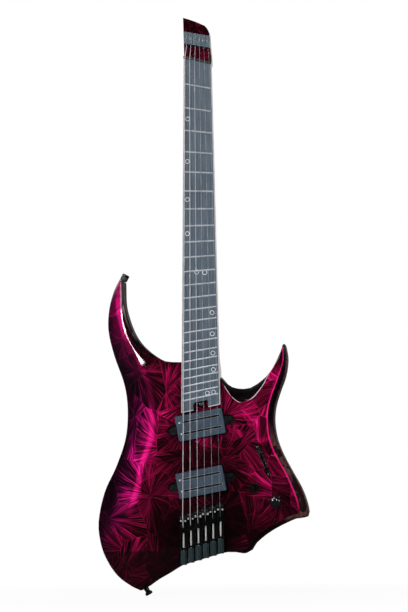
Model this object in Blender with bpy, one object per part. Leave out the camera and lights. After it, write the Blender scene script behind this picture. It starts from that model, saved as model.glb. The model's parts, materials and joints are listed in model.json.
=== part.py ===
"""Headless six-string electric guitar with slanted frets, standing upright.

Metres. +Z runs up the neck, -Y is the front of the guitar and +X is its treble side.
The origin is on the flat back of the body, so the back lies in the plane Y = 0.
Heights named h are measured forward from the flat top of the body.
"""
import math

import bmesh
import bpy
from mathutils import Matrix, Vector

# Gaps
FIT = 0.0003
RUNNING_GAP = 0.0005

# Scale, strings and frets
STRING_DIAMETERS = (0.00117, 0.00091, 0.00066, 0.00043, 0.00033, 0.00025)
SCALE_BASS = 0.6731
SCALE_TREBLE = 0.6477
FRET_COUNT = 24
SQUARE_FRET = 8
SQUARE_FRET_Z = 0.355
STRING_SPREAD_NUT = 0.0362
STRING_SPREAD_BRIDGE = 0.0540
ACTION_AT_NUT = 0.0006
ACTION_AT_SADDLE = 0.0027

# Fretboard
BOARD_RADIUS = 0.508
BOARD_THICKNESS = 0.0060
BOARD_MARGIN_NUT = 0.0025
BOARD_MARGIN_BRIDGE = 0.0038
BOARD_OVERHANG = 0.0165
BINDING_WIDTH = 0.0013
FRET_TOP_HEIGHT = 0.0105
FRET_HEIGHT = 0.0012
FRET_WIDTH = 0.0026
FRET_ROOT = 0.0005
NOTCH_WIDTH = 0.0218
NOTCH_LENGTH = 0.0108
NOTCH_CORNER = 0.0030

# Nut, neck and headstock
NUT_LENGTH = 0.0035
NECK_DEPTH_NUT = 0.0140
NECK_DEPTH_MIDDLE = 0.0160
HEEL_Z = 0.146
HEEL_TRANSITION = 0.032
TENON_ABOVE_NOTCH = 0.0012
HEAD_STEP = 0.0008
HEAD_THICKNESS = 0.0125
HEAD_OUTLINE = (
    (0.0172, 0.0437),
    (0.0145, 0.0498),
    (0.0108, 0.0545),
    (-0.0011, 0.0603),
    (-0.0115, 0.0646),
    (-0.0217, 0.0680),
)
TRUSS_WIDTH = 0.0060
TRUSS_DEPTH = 0.0095
TRUSS_AXIS_DEPTH = 0.0062
TRUSS_END_BELOW_NUT = 0.020
TRUSS_SHAFT_RADIUS = 0.0025
WHEEL_RADIUS = 0.0058
WHEEL_LENGTH = 0.0060
WHEEL_SLOTS = 6
WHEEL_SLOT_WIDTH = 0.0024
WHEEL_SLOT_DEPTH = 0.0022

# Headpiece
HEADPIECE_ABOVE_NUT = 0.0318
HEADPIECE_LENGTH = 0.0178
HEADPIECE_SLOPE = -0.215
HEADPIECE_BASE = 0.0030
CLAMP_PITCH = 0.0064
CLAMP_WIDTH = 0.0060
CLAMP_HEIGHT = 0.0066
CLAMP_GROOVE_WIDTH = 0.0020
CLAMP_GROOVE_HEIGHT = 0.0018
CLAMP_HEAD_RADIUS = 0.0018
CLAMP_HEAD_DEPTH = 0.0016

# Body. A station is outline x, z, then crest x, z, then the drop from the
# flat top to the front edge, then the inset of the rounding at the back.
BODY_THICKNESS = 0.042
BODY_STATION_SPACING = 0.0085
BACK_ROUNDING_SLOPE = 0.62
BASS_SIDE = (
    (-0.1228, 0.2818, -0.1190, 0.2760, 0.0150, 0.003),
    (-0.1310, 0.2650, -0.1193, 0.2620, 0.0150, 0.006),
    (-0.1385, 0.2380, -0.1190, 0.2370, 0.0150, 0.009),
    (-0.1397, 0.2060, -0.1133, 0.2040, 0.0145, 0.010),
    (-0.1310, 0.1690, -0.0950, 0.1670, 0.0135, 0.012),
    (-0.1160, 0.1260, -0.0790, 0.1260, 0.0125, 0.016),
    (-0.1113, 0.0900, -0.0728, 0.0890, 0.0125, 0.020),
    (-0.1145, 0.0480, -0.0755, 0.0480, 0.0125, 0.020),
    (-0.1284, 0.0070, -0.0885, 0.0070, 0.0125, 0.014),
    (-0.1460, -0.0310, -0.0975, -0.0320, 0.0115, 0.010),
    (-0.1547, -0.0740, -0.1120, -0.0700, 0.0085, 0.008),
    (-0.1515, -0.1030, -0.1380, -0.0960, 0.0055, 0.008),
    (-0.1435, -0.1270, -0.1370, -0.1085, 0.0070, 0.008),
    (-0.1270, -0.1525, -0.1200, -0.1150, 0.0110, 0.008),
    (-0.1060, -0.1685, -0.1020, -0.1165, 0.0150, 0.007),
    (-0.0947, -0.1738, -0.0940, -0.1172, 0.0170, 0.005),
)
LOWER_EDGE = (
    (-0.0821, -0.1667, -0.0850, -0.1182, 0.0170, 0.005),
    (-0.0700, -0.1583, -0.0730, -0.1190, 0.0150, 0.006),
    (-0.0540, -0.1495, -0.0580, -0.1196, 0.0120, 0.007),
    (-0.0355, -0.1385, -0.0400, -0.1235, 0.0060, 0.006),
    (-0.0240, -0.1348, -0.0245, -0.1318, 0.0025, 0.005),
    (0.0000, -0.1280, -0.0005, -0.1250, 0.0025, 0.005),
    (0.0254, -0.1207, 0.0252, -0.1177, 0.0025, 0.005),
    (0.0445, -0.1187, 0.0448, -0.1150, 0.0030, 0.005),
    (0.0590, -0.1211, 0.0580, -0.1165, 0.0035, 0.005),
    (0.0676, -0.1166, 0.0650, -0.1125, 0.0035, 0.005),
    (0.0741, -0.1065, 0.0712, -0.1030, 0.0035, 0.005),
    (0.0970, -0.0890, 0.0945, -0.0845, 0.0040, 0.005),
    (0.1320, -0.0722, 0.1290, -0.0670, 0.0050, 0.006),
    (0.1440, -0.0707, 0.1375, -0.0650, 0.0060, 0.006),
    (0.1500, -0.0689, 0.1400, -0.0630, 0.0080, 0.006),
    (0.1520, -0.0620, 0.1402, -0.0590, 0.0090, 0.007),
    (0.1490, -0.0470, 0.1375, -0.0460, 0.0100, 0.007),
    (0.1416, -0.0270, 0.1305, -0.0270, 0.0100, 0.008),
    (0.1290, -0.0040, 0.1205, -0.0040, 0.0100, 0.008),
    (0.1165, 0.0200, 0.1075, 0.0190, 0.0100, 0.009),
    (0.1077, 0.0430, 0.0988, 0.0425, 0.0100, 0.010),
    (0.1040, 0.0680, 0.0960, 0.0670, 0.0100, 0.010),
    (0.1057, 0.0900, 0.0976, 0.0890, 0.0100, 0.009),
    (0.1123, 0.1120, 0.1048, 0.1120, 0.0100, 0.008),
    (0.1208, 0.1350, 0.1138, 0.1348, 0.0100, 0.008),
    (0.1243, 0.1585, 0.1205, 0.1570, 0.0100, 0.006),
    (0.1226, 0.1725, 0.1202, 0.1695, 0.0100, 0.004),
    (0.1208, 0.1808, 0.1203, 0.1758, 0.0100, 0.003),
)
HORNS_AND_HEEL = (
    (0.1186, 0.1800, 0.1197, 0.1750, 0.0100, 0.003),
    (0.1153, 0.1700, 0.1176, 0.1685, 0.0100, 0.004),
    (0.1102, 0.1585, 0.1120, 0.1580, 0.0100, 0.006),
    (0.1042, 0.1468, 0.1052, 0.1460, 0.0110, 0.007),
    (0.0947, 0.1352, 0.0968, 0.1336, 0.0140, 0.008),
    (0.0792, 0.1235, 0.0850, 0.1160, 0.0190, 0.009),
    (0.0690, 0.1184, 0.0710, 0.1014, 0.0220, 0.010),
    (0.0590, 0.1170, 0.0585, 0.0966, 0.0220, 0.010),
    (0.0500, 0.1178, 0.0500, 0.0995, 0.0210, 0.010),
    (0.0420, 0.1200, 0.0432, 0.1060, 0.0170, 0.010),
    (0.0345, 0.1252, 0.0350, 0.1190, 0.0080, 0.009),
    (0.0270, 0.1340, 0.0275, 0.1315, 0.0025, 0.008),
    (0.0100, 0.1490, 0.0100, 0.1460, 0.0025, 0.008),
    (-0.0100, 0.1560, -0.0100, 0.1528, 0.0025, 0.008),
    (-0.0330, 0.1568, -0.0335, 0.1532, 0.0030, 0.009),
    (-0.0537, 0.1588, -0.0600, 0.1535, 0.0070, 0.010),
    (-0.0700, 0.1675, -0.0800, 0.1550, 0.0110, 0.011),
    (-0.0790, 0.1742, -0.0895, 0.1645, 0.0122, 0.011),
    (-0.0875, 0.1820, -0.0978, 0.1750, 0.0135, 0.011),
    (-0.0968, 0.1936, -0.1062, 0.1895, 0.0145, 0.010),
    (-0.1032, 0.2053, -0.1110, 0.2030, 0.0150, 0.010),
    (-0.1100, 0.2230, -0.1155, 0.2220, 0.0150, 0.009),
    (-0.1152, 0.2440, -0.1170, 0.2430, 0.0150, 0.008),
    (-0.1163, 0.2640, -0.1170, 0.2620, 0.0150, 0.006),
    (-0.1168, 0.2785, -0.1176, 0.2755, 0.0150, 0.003),
)
BEVEL_PROFILE = ((0.07, 0.022), (0.36, 0.22), (0.70, 0.53), (1.0, 1.0))
# The outer edge of the bevel is rounded off: (share of the radius inward, share of it down).
EDGE_RADIUS = 0.0011
EDGE_PROFILE = ((1.0, 0.0), (0.29, 0.29), (0.0, 1.0))

# Neck joint
POCKET_DEPTH = 0.0160
POCKET_TOP_Z = 0.178
NECK_BOLT_RADIUS = 0.0022
NECK_BOLT_GRIP = 0.0120
FERRULE_RADIUS = 0.0065
FERRULE_THICKNESS = 0.0050
NECK_BOLT_SPREAD = 0.0360
NECK_BOLT_ROWS = (0.0135, 0.0435)

# Pickups
PICKUP_LENGTH = 0.0690
PICKUP_WIDTH = 0.0365
PICKUP_CORNER = 0.0012
PICKUP_TOP = 0.0075
PICKUP_BELOW_TOP = 0.0040
PICKUP_TILT = math.radians(10.2)
PICKUP_X = -0.0012
NECK_PICKUP_BELOW_BOARD = 0.0231
BRIDGE_PICKUP_ABOVE_SADDLES = 0.0428
PICKUP_PLATE = 0.0016
PICKUP_WIRE_ROOM = 0.0060
EAR_REACH = 0.0430
EAR_RADIUS = 0.0062
EAR_SCREW_RADIUS = 0.0013
EAR_SCREW_HEAD = 0.0026
EAR_SCREW_DOME = 0.0016
EAR_SCREW_LENGTH = 0.0120
CAVITY_GAP = 0.0010
BLADE_LENGTH = 0.0560
BLADE_WIDTH = 0.0021
BLADE_SPACING = 0.0164
BLADE_SHIFT = 0.0020

# Bridge units. u is measured down the guitar from a unit's front edge.
UNIT_FRONT_ABOVE_WITNESS = 0.0051
UNIT_WIDTH = 0.0102
UNIT_LENGTH = 0.0512
UNIT_FLOOR = 0.0022
UNIT_WALL = 0.0013
UNIT_WALL_TOP = 0.0093
CHANNEL_START = 0.0134
BULKHEAD = 0.0030
BULKHEAD_TOP = 0.0102
SADDLE_START = 0.0010
SADDLE_END = 0.0114
SADDLE_UNDERSIDE = 0.0046
SADDLE_CROWN_WIDTH = 0.0030
SADDLE_SCREW_U = 0.0100
SADDLE_SCREW_SPACING = 0.0064
SADDLE_SCREW_RADIUS = 0.0012
SADDLE_SCREW_PROUD = 0.0006
TUNER_AXIS_HEIGHT = 0.0056
ROD_RADIUS = 0.0013
ROD_PITCH = 0.0005
CARRIAGE_U = 0.0145
CARRIAGE_WALL = 0.0014
CARRIAGE_TRAVEL = 0.0025
CARRIAGE_TOP = 0.0114
BALL_RADIUS = 0.0020
BALL_BORE = 0.0013
BALL_LENGTH = 0.0030
BALL_SETBACK = 0.0054
STRING_REST_HEIGHT = 0.0095
SLOT_HALF_WIDTH = 0.0012
KNOB_GAP = 0.0006
KNOB_RADIUS = 0.0047
KNOB_LENGTH = 0.0212
KNOB_FLUTES = 8
KNOB_FLUTE_DEPTH = 0.0007
KNOB_CHAMFER = 0.0007
BRIDGE_SCREW_RADIUS = 0.0014
BRIDGE_SCREW_HEAD = 0.0024
BRIDGE_SCREW_U = 0.0385
BRIDGE_SCREW_LENGTH = 0.0110
TUNER_BAY_DEPTH = 0.0034
TUNER_BAY_MARGIN = 0.0030

# Control cavity and cover
TOP_OVER_CAVITY = 0.0062
CAVITY_CORNERS = (
    (0.0640, 0.0420),
    (0.0900, 0.0420),
    (0.1100, 0.0080),
    (0.1270, -0.0300),
    (0.1270, -0.0600),
    (0.0920, -0.0760),
    (0.0640, -0.0960),
    (0.0330, -0.0960),
    (0.0330, -0.0720),
    (0.0580, -0.0420),
)
CAVITY_CORNER_RADIUS = 0.0060
COVER_LIP = 0.0055
COVER_THICKNESS = 0.0020
COVER_SCREW_CORNERS = (0, 1, 3, 4, 6, 7)
COVER_SCREW_OUT = 0.0015
COVER_SCREW_RADIUS = 0.0012
COVER_SCREW_HEAD = 0.0022
COVER_SCREW_LENGTH = 0.0110

# Volume control
VOLUME_PLACE = (0.1076, -0.0481)
VOLUME_KNOB_RADIUS = 0.0085
VOLUME_KNOB_HEIGHT = 0.0145
VOLUME_KNOB_LIFT = 0.0045
POT_RADIUS = 0.0085
POT_LENGTH = 0.0095
POT_BUSHING_RADIUS = 0.0040
POT_NUT_RADIUS = 0.0060
POT_NUT_HEIGHT = 0.0022
POT_SHAFT_RADIUS = 0.0026

# Mini toggle
TOGGLE_PLACE = (0.0760, -0.0277)
TOGGLE_NUT_RADIUS = 0.0068
TOGGLE_NUT_HEIGHT = 0.0030
TOGGLE_BUSHING_RADIUS = 0.0030
TOGGLE_BORE_RADIUS = 0.0021
TOGGLE_BODY = (0.0130, 0.0090, 0.0100)
TOGGLE_LEVER_LENGTH = 0.0125
TOGGLE_LEVER_RADIUS = 0.0009
TOGGLE_TIP_RADIUS = 0.0016

# Selector switch
SELECTOR_PLACE = (0.0895, 0.0109)
SELECTOR_TILT = math.radians(21.6)
SELECTOR_SCREW_SPACING = 0.0425
SELECTOR_BEZEL_WIDTH = 0.0058
SELECTOR_BEZEL_THICKNESS = 0.0012
SELECTOR_PIVOT_DEPTH = 0.0200
SELECTOR_LEVER_WIDTH = 0.0046
SELECTOR_LEVER_THICKNESS = 0.0012
SELECTOR_SLOT_WIDTH = 0.0022
SELECTOR_LEAN = math.radians(24)
SELECTOR_TIP_LENGTH = 0.0090
SELECTOR_TIP_WIDTH = 0.0056
SELECTOR_TIP_STRETCH = 1.25
SELECTOR_HOUSING_WIDTH = 0.0120
SELECTOR_PIN_RADIUS = 0.0012
SELECTOR_SCREW_RADIUS = 0.0014
SELECTOR_SCREW_HEAD = 0.0026
SELECTOR_SCREW_LENGTH = 0.0125
SELECTOR_SCREW_DOME = 0.0014

# Output jack
JACK_X = 0.0470
JACK_DEPTH = 0.0200
JACK_FACE_Z = -0.1176
JACK_BARREL_RADIUS = 0.0092
JACK_FLANGE_RADIUS = 0.0112
JACK_FLANGE = 0.0015
JACK_LENGTH = 0.0240
JACK_BORE_RADIUS = 0.0033
JACK_BORE_DEPTH = 0.0200

# Strap buttons
BUTTON_BASE_RADIUS = 0.0039
BUTTON_WAIST_RADIUS = 0.0036
BUTTON_CAP_RADIUS = 0.0056
BUTTON_HEIGHT = 0.0110
BUTTON_CAP = 0.0035
BUTTON_SCREW_RADIUS = 0.0015
BUTTON_SCREW_HEAD = 0.0030
BUTTON_SCREW_DEPTH = 0.0180
BUTTON_SINK = 0.0010
BUTTON_FRONT_SHARE = 0.50

STRING_COUNT = len(STRING_DIAMETERS)
LAST_FRACTION = 1 - 2 ** (-FRET_COUNT / 12)
END_FRACTION = LAST_FRACTION + BOARD_OVERHANG / ((SCALE_BASS + SCALE_TREBLE) / 2)
BOARD_TOP_HEIGHT = FRET_TOP_HEIGHT - FRET_HEIGHT
BOARD_BOTTOM_HEIGHT = BOARD_TOP_HEIGHT - BOARD_THICKNESS
NECK_FRONT_HEIGHT = BOARD_BOTTOM_HEIGHT - FIT
HEAD_FRONT_HEIGHT = NECK_FRONT_HEIGHT - HEAD_STEP
TENON_BOTTOM_HEIGHT = -POCKET_DEPTH + FIT
TRUSS_AXIS_HEIGHT = NECK_FRONT_HEIGHT - TRUSS_AXIS_DEPTH
STRING_END_SETBACK = BALL_SETBACK + CARRIAGE_TRAVEL + FIT
CARRIAGE_LENGTH = STRING_END_SETBACK + CARRIAGE_TRAVEL + FIT + CARRIAGE_WALL
UNIT_FLOOR_TOP = FIT + UNIT_FLOOR
PLATE_TOP = -PICKUP_BELOW_TOP - FIT
PLATE_BOTTOM = PLATE_TOP - PICKUP_PLATE
EAR_FLOOR = PLATE_BOTTOM - FIT

MATERIALS = {
    "crystal_magenta": ((0.20, 0.002, 0.060), 0.12, 0.0),
    "dark_wine_wood": ((0.045, 0.004, 0.012), 0.25, 0.0),
    "slate_board": ((0.060, 0.070, 0.090), 0.55, 0.0),
    "pale_binding": ((0.55, 0.47, 0.47), 0.40, 0.0),
    "fret_wire": ((0.70, 0.70, 0.72), 0.25, 1.0),
    "black_metal": ((0.012, 0.013, 0.014), 0.30, 0.9),
    "slate_metal": ((0.075, 0.090, 0.105), 0.38, 0.7),
    "slate_cover": ((0.090, 0.115, 0.150), 0.50, 0.1),
    "bright_steel": ((0.62, 0.62, 0.62), 0.22, 1.0),
    "black_plastic": ((0.010, 0.010, 0.011), 0.30, 0.0),
    "string_steel": ((0.55, 0.54, 0.54), 0.30, 1.0),
}


def clear_scene():
    for item in list(bpy.data.objects):
        bpy.data.objects.remove(item, do_unlink=True)


def make_materials():
    for name, (colour, roughness, metallic) in MATERIALS.items():
        material = bpy.data.materials.new(name)
        material.use_nodes = True
        shader = material.node_tree.nodes["Principled BSDF"]
        shader.inputs["Base Color"].default_value = (*colour, 1.0)
        shader.inputs["Roughness"].default_value = roughness
        shader.inputs["Metallic"].default_value = metallic
        material.diffuse_color = (*colour, 1.0)


def front(h):
    """World Y of a height above the flat top of the body."""
    return -(BODY_THICKNESS + h)


def new_mesh(vertices, faces, smooth_angle=None):
    mesh = bpy.data.meshes.new("mesh")
    mesh.from_pydata([tuple(v) for v in vertices], [], faces)
    form = bmesh.new()
    form.from_mesh(mesh)
    bmesh.ops.recalc_face_normals(form, faces=form.faces)
    form.to_mesh(mesh)
    form.free()
    if smooth_angle:
        mesh.shade_smooth()
        mesh.set_sharp_from_angle(angle=math.radians(smooth_angle))
    return mesh


def place(name, mesh, material, location=(0, 0, 0), rotation=(0, 0, 0)):
    item = bpy.data.objects.new(name, mesh)
    item.location = location
    item.rotation_euler = rotation
    if material:
        mesh.materials.clear()
        mesh.materials.append(bpy.data.materials[material])
    bpy.context.scene.collection.objects.link(item)
    return item


def cutter(name, mesh, location=(0, 0, 0), rotation=(0, 0, 0)):
    item = place("cut_" + name, mesh, None, location, rotation)
    item.hide_render = True
    item.display_type = "WIRE"
    return item


def apply_boolean(item, tool, operation="DIFFERENCE"):
    step = item.modifiers.new(tool.name, "BOOLEAN")
    step.operation = operation
    step.solver = "EXACT"
    step.object = tool


def merge(meshes):
    """One mesh that holds several separate closed solids."""
    form = bmesh.new()
    for mesh in meshes:
        form.from_mesh(mesh)
    mesh = bpy.data.meshes.new("group")
    form.to_mesh(mesh)
    form.free()
    return mesh


def moved(mesh, location=(0, 0, 0), rotation=None):
    mesh = mesh.copy()
    matrix = Matrix.Translation(Vector(location))
    if rotation:
        matrix = matrix @ rotation
    mesh.transform(matrix)
    return mesh


def loft(rings, smooth_angle=None):
    """Closed solid through rings of equally many points, capped at both ends."""
    count = len(rings[0])
    vertices = [point for ring in rings for point in ring]
    faces = []
    for level in range(len(rings) - 1):
        low = level * count
        for k in range(count):
            n = (k + 1) % count
            faces.append((low + k, low + n, low + count + n, low + count + k))
    faces.append(tuple(range(count)))
    faces.append(tuple((len(rings) - 1) * count + k for k in range(count)))
    return new_mesh(vertices, faces, smooth_angle)


def prism(outline, h_low, h_high, smooth_angle=None):
    """Outline of (x, z) points, between two heights above its own origin."""
    return loft([[(x, -h_low, z) for x, z in outline], [(x, -h_high, z) for x, z in outline]],
                smooth_angle)


def box(x0, x1, h0, h1, z0, z1):
    return prism(((x0, z0), (x1, z0), (x1, z1), (x0, z1)), h0, h1)


def turned(profile, sides=24, smooth_angle=35, axis="h"):
    """Closed solid of revolution. The profile is (radius, distance) along the axis.

    axis h runs forward out of the body, axis z runs up the guitar.
    """
    rings = []
    for radius, along in profile:
        ring = []
        for k in range(sides):
            angle = 2 * math.pi * k / sides
            a = radius * math.cos(angle)
            b = radius * math.sin(angle)
            ring.append((a, -along, b) if axis == "h" else (a, b, along))
        rings.append(ring)
    return loft(rings, smooth_angle)


def hollow_turned(profile, sides=24, smooth_angle=35, axis="h"):
    """Solid of revolution of a closed profile that doesn't touch the axis."""
    count = len(profile)
    vertices = []
    for k in range(sides):
        angle = 2 * math.pi * k / sides
        for radius, along in profile:
            a = radius * math.cos(angle)
            b = radius * math.sin(angle)
            vertices.append((a, -along, b) if axis == "h" else (a, b, along))
    faces = []
    for k in range(sides):
        n = (k + 1) % sides
        for p in range(count):
            q = (p + 1) % count
            faces.append((k * count + p, n * count + p, n * count + q, k * count + q))
    return new_mesh(vertices, faces, smooth_angle)


def stadium(length, radius, steps=8):
    """Outline along x with round ends; length is between the end centres."""
    points = []
    for k in range(steps + 1):
        angle = -math.pi / 2 + math.pi * k / steps
        points.append((length / 2 + radius * math.cos(angle), radius * math.sin(angle)))
    for k in range(steps + 1):
        angle = math.pi / 2 + math.pi * k / steps
        points.append((-length / 2 + radius * math.cos(angle), radius * math.sin(angle)))
    return points


def offset_outline(points, distance):
    """Move every edge of a clockwise outline outward by the distance."""
    count = len(points)
    result = []
    for k in range(count):
        before = Vector(points[k - 1])
        here = Vector(points[k])
        after = Vector(points[(k + 1) % count])
        into = (here - before).normalized()
        out = (after - here).normalized()
        normal_in = Vector((-into.y, into.x))
        normal_out = Vector((-out.y, out.x))
        middle = (normal_in + normal_out).normalized()
        reach = distance / middle.dot(normal_in)
        result.append(tuple(here + middle * reach))
    return result


def round_corners(points, radius, steps=4):
    """Replace each corner of an outline with an arc-like curve of that reach."""
    count = len(points)
    result = []
    for k in range(count):
        here = Vector(points[k])
        start = here + (Vector(points[k - 1]) - here).normalized() * radius
        end = here + (Vector(points[(k + 1) % count]) - here).normalized() * radius
        for s in range(steps + 1):
            t = s / steps
            result.append(tuple(start * (1 - t) ** 2 + here * 2 * t * (1 - t) + end * t ** 2))
    return result


def smooth_run(stations, spacing):
    """Curve through the stations; every value of a station follows it."""
    samples = []
    count = len(stations)
    for k in range(count - 1):
        before = stations[max(k - 1, 0)]
        a = stations[k]
        b = stations[k + 1]
        after = stations[min(k + 2, count - 1)]
        chord = math.hypot(b[0] - a[0], b[1] - a[1])
        into = max(math.hypot(a[0] - before[0], a[1] - before[1]), 1e-9)
        out = max(math.hypot(after[0] - b[0], after[1] - b[1]), 1e-9)
        steps = max(1, round(chord / spacing))
        for s in range(steps):
            t = s / steps
            sample = []
            for i in range(len(a)):
                slope_a = (b[i] - before[i]) / (chord + into) * chord
                slope_b = (after[i] - a[i]) / (chord + out) * chord
                if k == 0:
                    slope_a = b[i] - a[i]
                if k == count - 2:
                    slope_b = b[i] - a[i]
                sample.append(
                    (2 * t ** 3 - 3 * t ** 2 + 1) * a[i]
                    + (t ** 3 - 2 * t ** 2 + t) * slope_a
                    + (3 * t ** 2 - 2 * t ** 3) * b[i]
                    + (t ** 3 - t ** 2) * slope_b
                )
            samples.append(sample)
    samples.append(list(stations[-1]))
    return samples


def tube(path, radius, sides=6):
    """Round bar along a path that runs mainly in z."""
    rings = []
    for point in path:
        ring = []
        for k in range(sides):
            angle = 2 * math.pi * (k + 0.5) / sides
            ring.append((point[0] + radius * math.cos(angle),
                         point[1] + radius * math.sin(angle), point[2]))
        rings.append(ring)
    return loft(rings, 60)


# Strings and frets in plan

def fret_fraction(number):
    return 1 - 2 ** (-number / 12)


def string_share(i):
    return i / (STRING_COUNT - 1) - 0.5


def string_x(i, fraction):
    spread = STRING_SPREAD_NUT + (STRING_SPREAD_BRIDGE - STRING_SPREAD_NUT) * fraction
    return string_share(i) * spread


def string_z(i, fraction):
    length = SCALE_BASS + (SCALE_TREBLE - SCALE_BASS) * i / (STRING_COUNT - 1)
    return SQUARE_FRET_Z + length * (fret_fraction(SQUARE_FRET) - fraction)


def fan_point(fraction, share):
    """Point of the slanted line at a fraction; share 0 is bass edge string, 1 is treble."""
    last = STRING_COUNT - 1
    x = string_x(0, fraction) + (string_x(last, fraction) - string_x(0, fraction)) * share
    z = string_z(0, fraction) + (string_z(last, fraction) - string_z(0, fraction)) * share
    return x, z


def edge_point(fraction, side, inset=0.0):
    """Edge of the board on the slanted line; side is -1 for bass and 1 for treble."""
    margin = BOARD_MARGIN_NUT + (BOARD_MARGIN_BRIDGE - BOARD_MARGIN_NUT) * fraction - inset
    width = string_x(STRING_COUNT - 1, fraction) - string_x(0, fraction)
    share = -margin / width if side < 0 else 1 + margin / width
    return fan_point(fraction, share)


def edge_x(z, side, inset=0.0):
    """Straight edge of the neck at a height z."""
    x0, z0 = edge_point(0, side, inset)
    x1, z1 = edge_point(END_FRACTION, side, inset)
    return x0 + (x1 - x0) * (z - z0) / (z1 - z0)


def crown(x):
    return x * x / (2 * BOARD_RADIUS)


NUT_Z = sum(edge_point(0, side)[1] for side in (-1, 1)) / 2
BOARD_END_Z = sum(edge_point(END_FRACTION, side)[1] for side in (-1, 1)) / 2
TENON_END_Z = BOARD_END_Z + NOTCH_LENGTH + TENON_ABOVE_NOTCH
HEADPIECE_Z = NUT_Z + HEADPIECE_ABOVE_NUT


def witness_height(i):
    """Underside of a string where it leaves its saddle."""
    return FRET_TOP_HEIGHT + ACTION_AT_SADDLE - crown(string_x(i, 1.0))


def unit_origin(i):
    """Middle of a bridge unit's front edge, on the body's flat top."""
    return Vector((string_x(i, 1.0), front(0), string_z(i, 1.0) + UNIT_FRONT_ABOVE_WITNESS))


# Body

def body_rings():
    stations = []
    for run in (BASS_SIDE, LOWER_EDGE, HORNS_AND_HEEL):
        stations += smooth_run(run, BODY_STATION_SPACING)
    bevel = BEVEL_PROFILE[:-1]
    back = ((0.0, 1.0), (0.12, 0.5), (0.45, 0.14), (1.0, 0.0))
    rings = [[] for _ in range(1 + len(bevel) + len(EDGE_PROFILE) + len(back))]
    for x, z, crest_x, crest_z, drop, back_inset in stations:
        edge = Vector((x, z))
        crest = Vector((crest_x, crest_z))
        inward = (crest - edge).normalized()
        section = [(crest, front(0))]
        for reach, fall in bevel:
            section.append((crest.lerp(edge, reach), front(-drop * fall)))
        for across, down in EDGE_PROFILE:
            section.append((edge + inward * EDGE_RADIUS * across, front(-drop - EDGE_RADIUS * down)))
        depth = back_inset * BACK_ROUNDING_SLOPE
        for reach, rise in back:
            section.append((edge + inward * back_inset * reach, -depth * rise))
        for ring, (point, y) in zip(rings, section):
            ring.append((point.x, y, point.y))
    return rings


def make_body():
    body = place("body", loft(body_rings(), 24), "crystal_magenta")
    cut_neck_pocket(body)
    for name, spot in (("neck", neck_pickup_place()), ("bridge", bridge_pickup_place())):
        cut_pickup_cavity(body, name, spot)
    cut_tuner_bay(body)
    cut_control_cavity(body)
    cut_jack_seat(body)
    cut_screw_bores(body)
    return body


def pocket_outline(gap):
    low = TENON_END_Z - gap
    return (
        (edge_x(low, -1) - gap, low),
        (edge_x(low, 1) + gap, low),
        (edge_x(POCKET_TOP_Z, 1) + gap, POCKET_TOP_Z),
        (edge_x(POCKET_TOP_Z, -1) - gap, POCKET_TOP_Z),
    )


def cut_neck_pocket(body):
    pocket = prism(pocket_outline(FIT), -POCKET_DEPTH, BOARD_TOP_HEIGHT)
    apply_boolean(body, cutter("neck_pocket", pocket, (0, front(0), 0)))
    reach = WHEEL_RADIUS + CAVITY_GAP
    bay_low = TENON_END_Z - WHEEL_LENGTH - 2 * CAVITY_GAP
    bay = box(-reach, reach, TRUSS_AXIS_HEIGHT - reach, BOARD_TOP_HEIGHT,
              bay_low, TENON_END_Z + CAVITY_GAP)
    apply_boolean(body, cutter("wheel_bay", bay, (0, front(0), 0)))


def neck_pickup_place():
    return PICKUP_X, BOARD_END_Z - NECK_PICKUP_BELOW_BOARD


def bridge_pickup_place():
    saddles = [string_z(i, 1.0) for i in range(STRING_COUNT)]
    return PICKUP_X, sum(saddles) / STRING_COUNT + BRIDGE_PICKUP_ABOVE_SADDLES


def pickup_frame(spot):
    return (spot[0], front(0), spot[1]), (0, -PICKUP_TILT, 0)


def cut_pickup_cavity(body, name, spot):
    location, rotation = pickup_frame(spot)
    half_x = PICKUP_LENGTH / 2 + CAVITY_GAP
    half_z = PICKUP_WIDTH / 2 + CAVITY_GAP
    ears = prism(stadium(2 * EAR_REACH, EAR_RADIUS + CAVITY_GAP), EAR_FLOOR, PICKUP_TOP)
    apply_boolean(body, cutter(name + "_ears", ears, location, rotation))
    well = box(-half_x, half_x, EAR_FLOOR - PICKUP_WIRE_ROOM, PICKUP_TOP, -half_z, half_z)
    apply_boolean(body, cutter(name + "_well", well, location, rotation))


def cut_tuner_bay(body):
    start = UNIT_LENGTH + KNOB_GAP / 2
    end = UNIT_LENGTH + KNOB_GAP + KNOB_LENGTH + 5 * TUNER_BAY_MARGIN
    first = unit_origin(0)
    last = unit_origin(STRING_COUNT - 1)
    side = UNIT_WIDTH / 2 + TUNER_BAY_MARGIN
    slope = (last.z - first.z) / (last.x - first.x)
    bay = prism((
        (first.x - side, first.z - start - side * slope),
        (last.x + side, last.z - start + side * slope),
        (last.x + side, last.z - end),
        (first.x - side, first.z - end),
    ), -TUNER_BAY_DEPTH, PICKUP_TOP)
    apply_boolean(body, cutter("tuner_bay", bay, (0, front(0), 0)))


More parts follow.
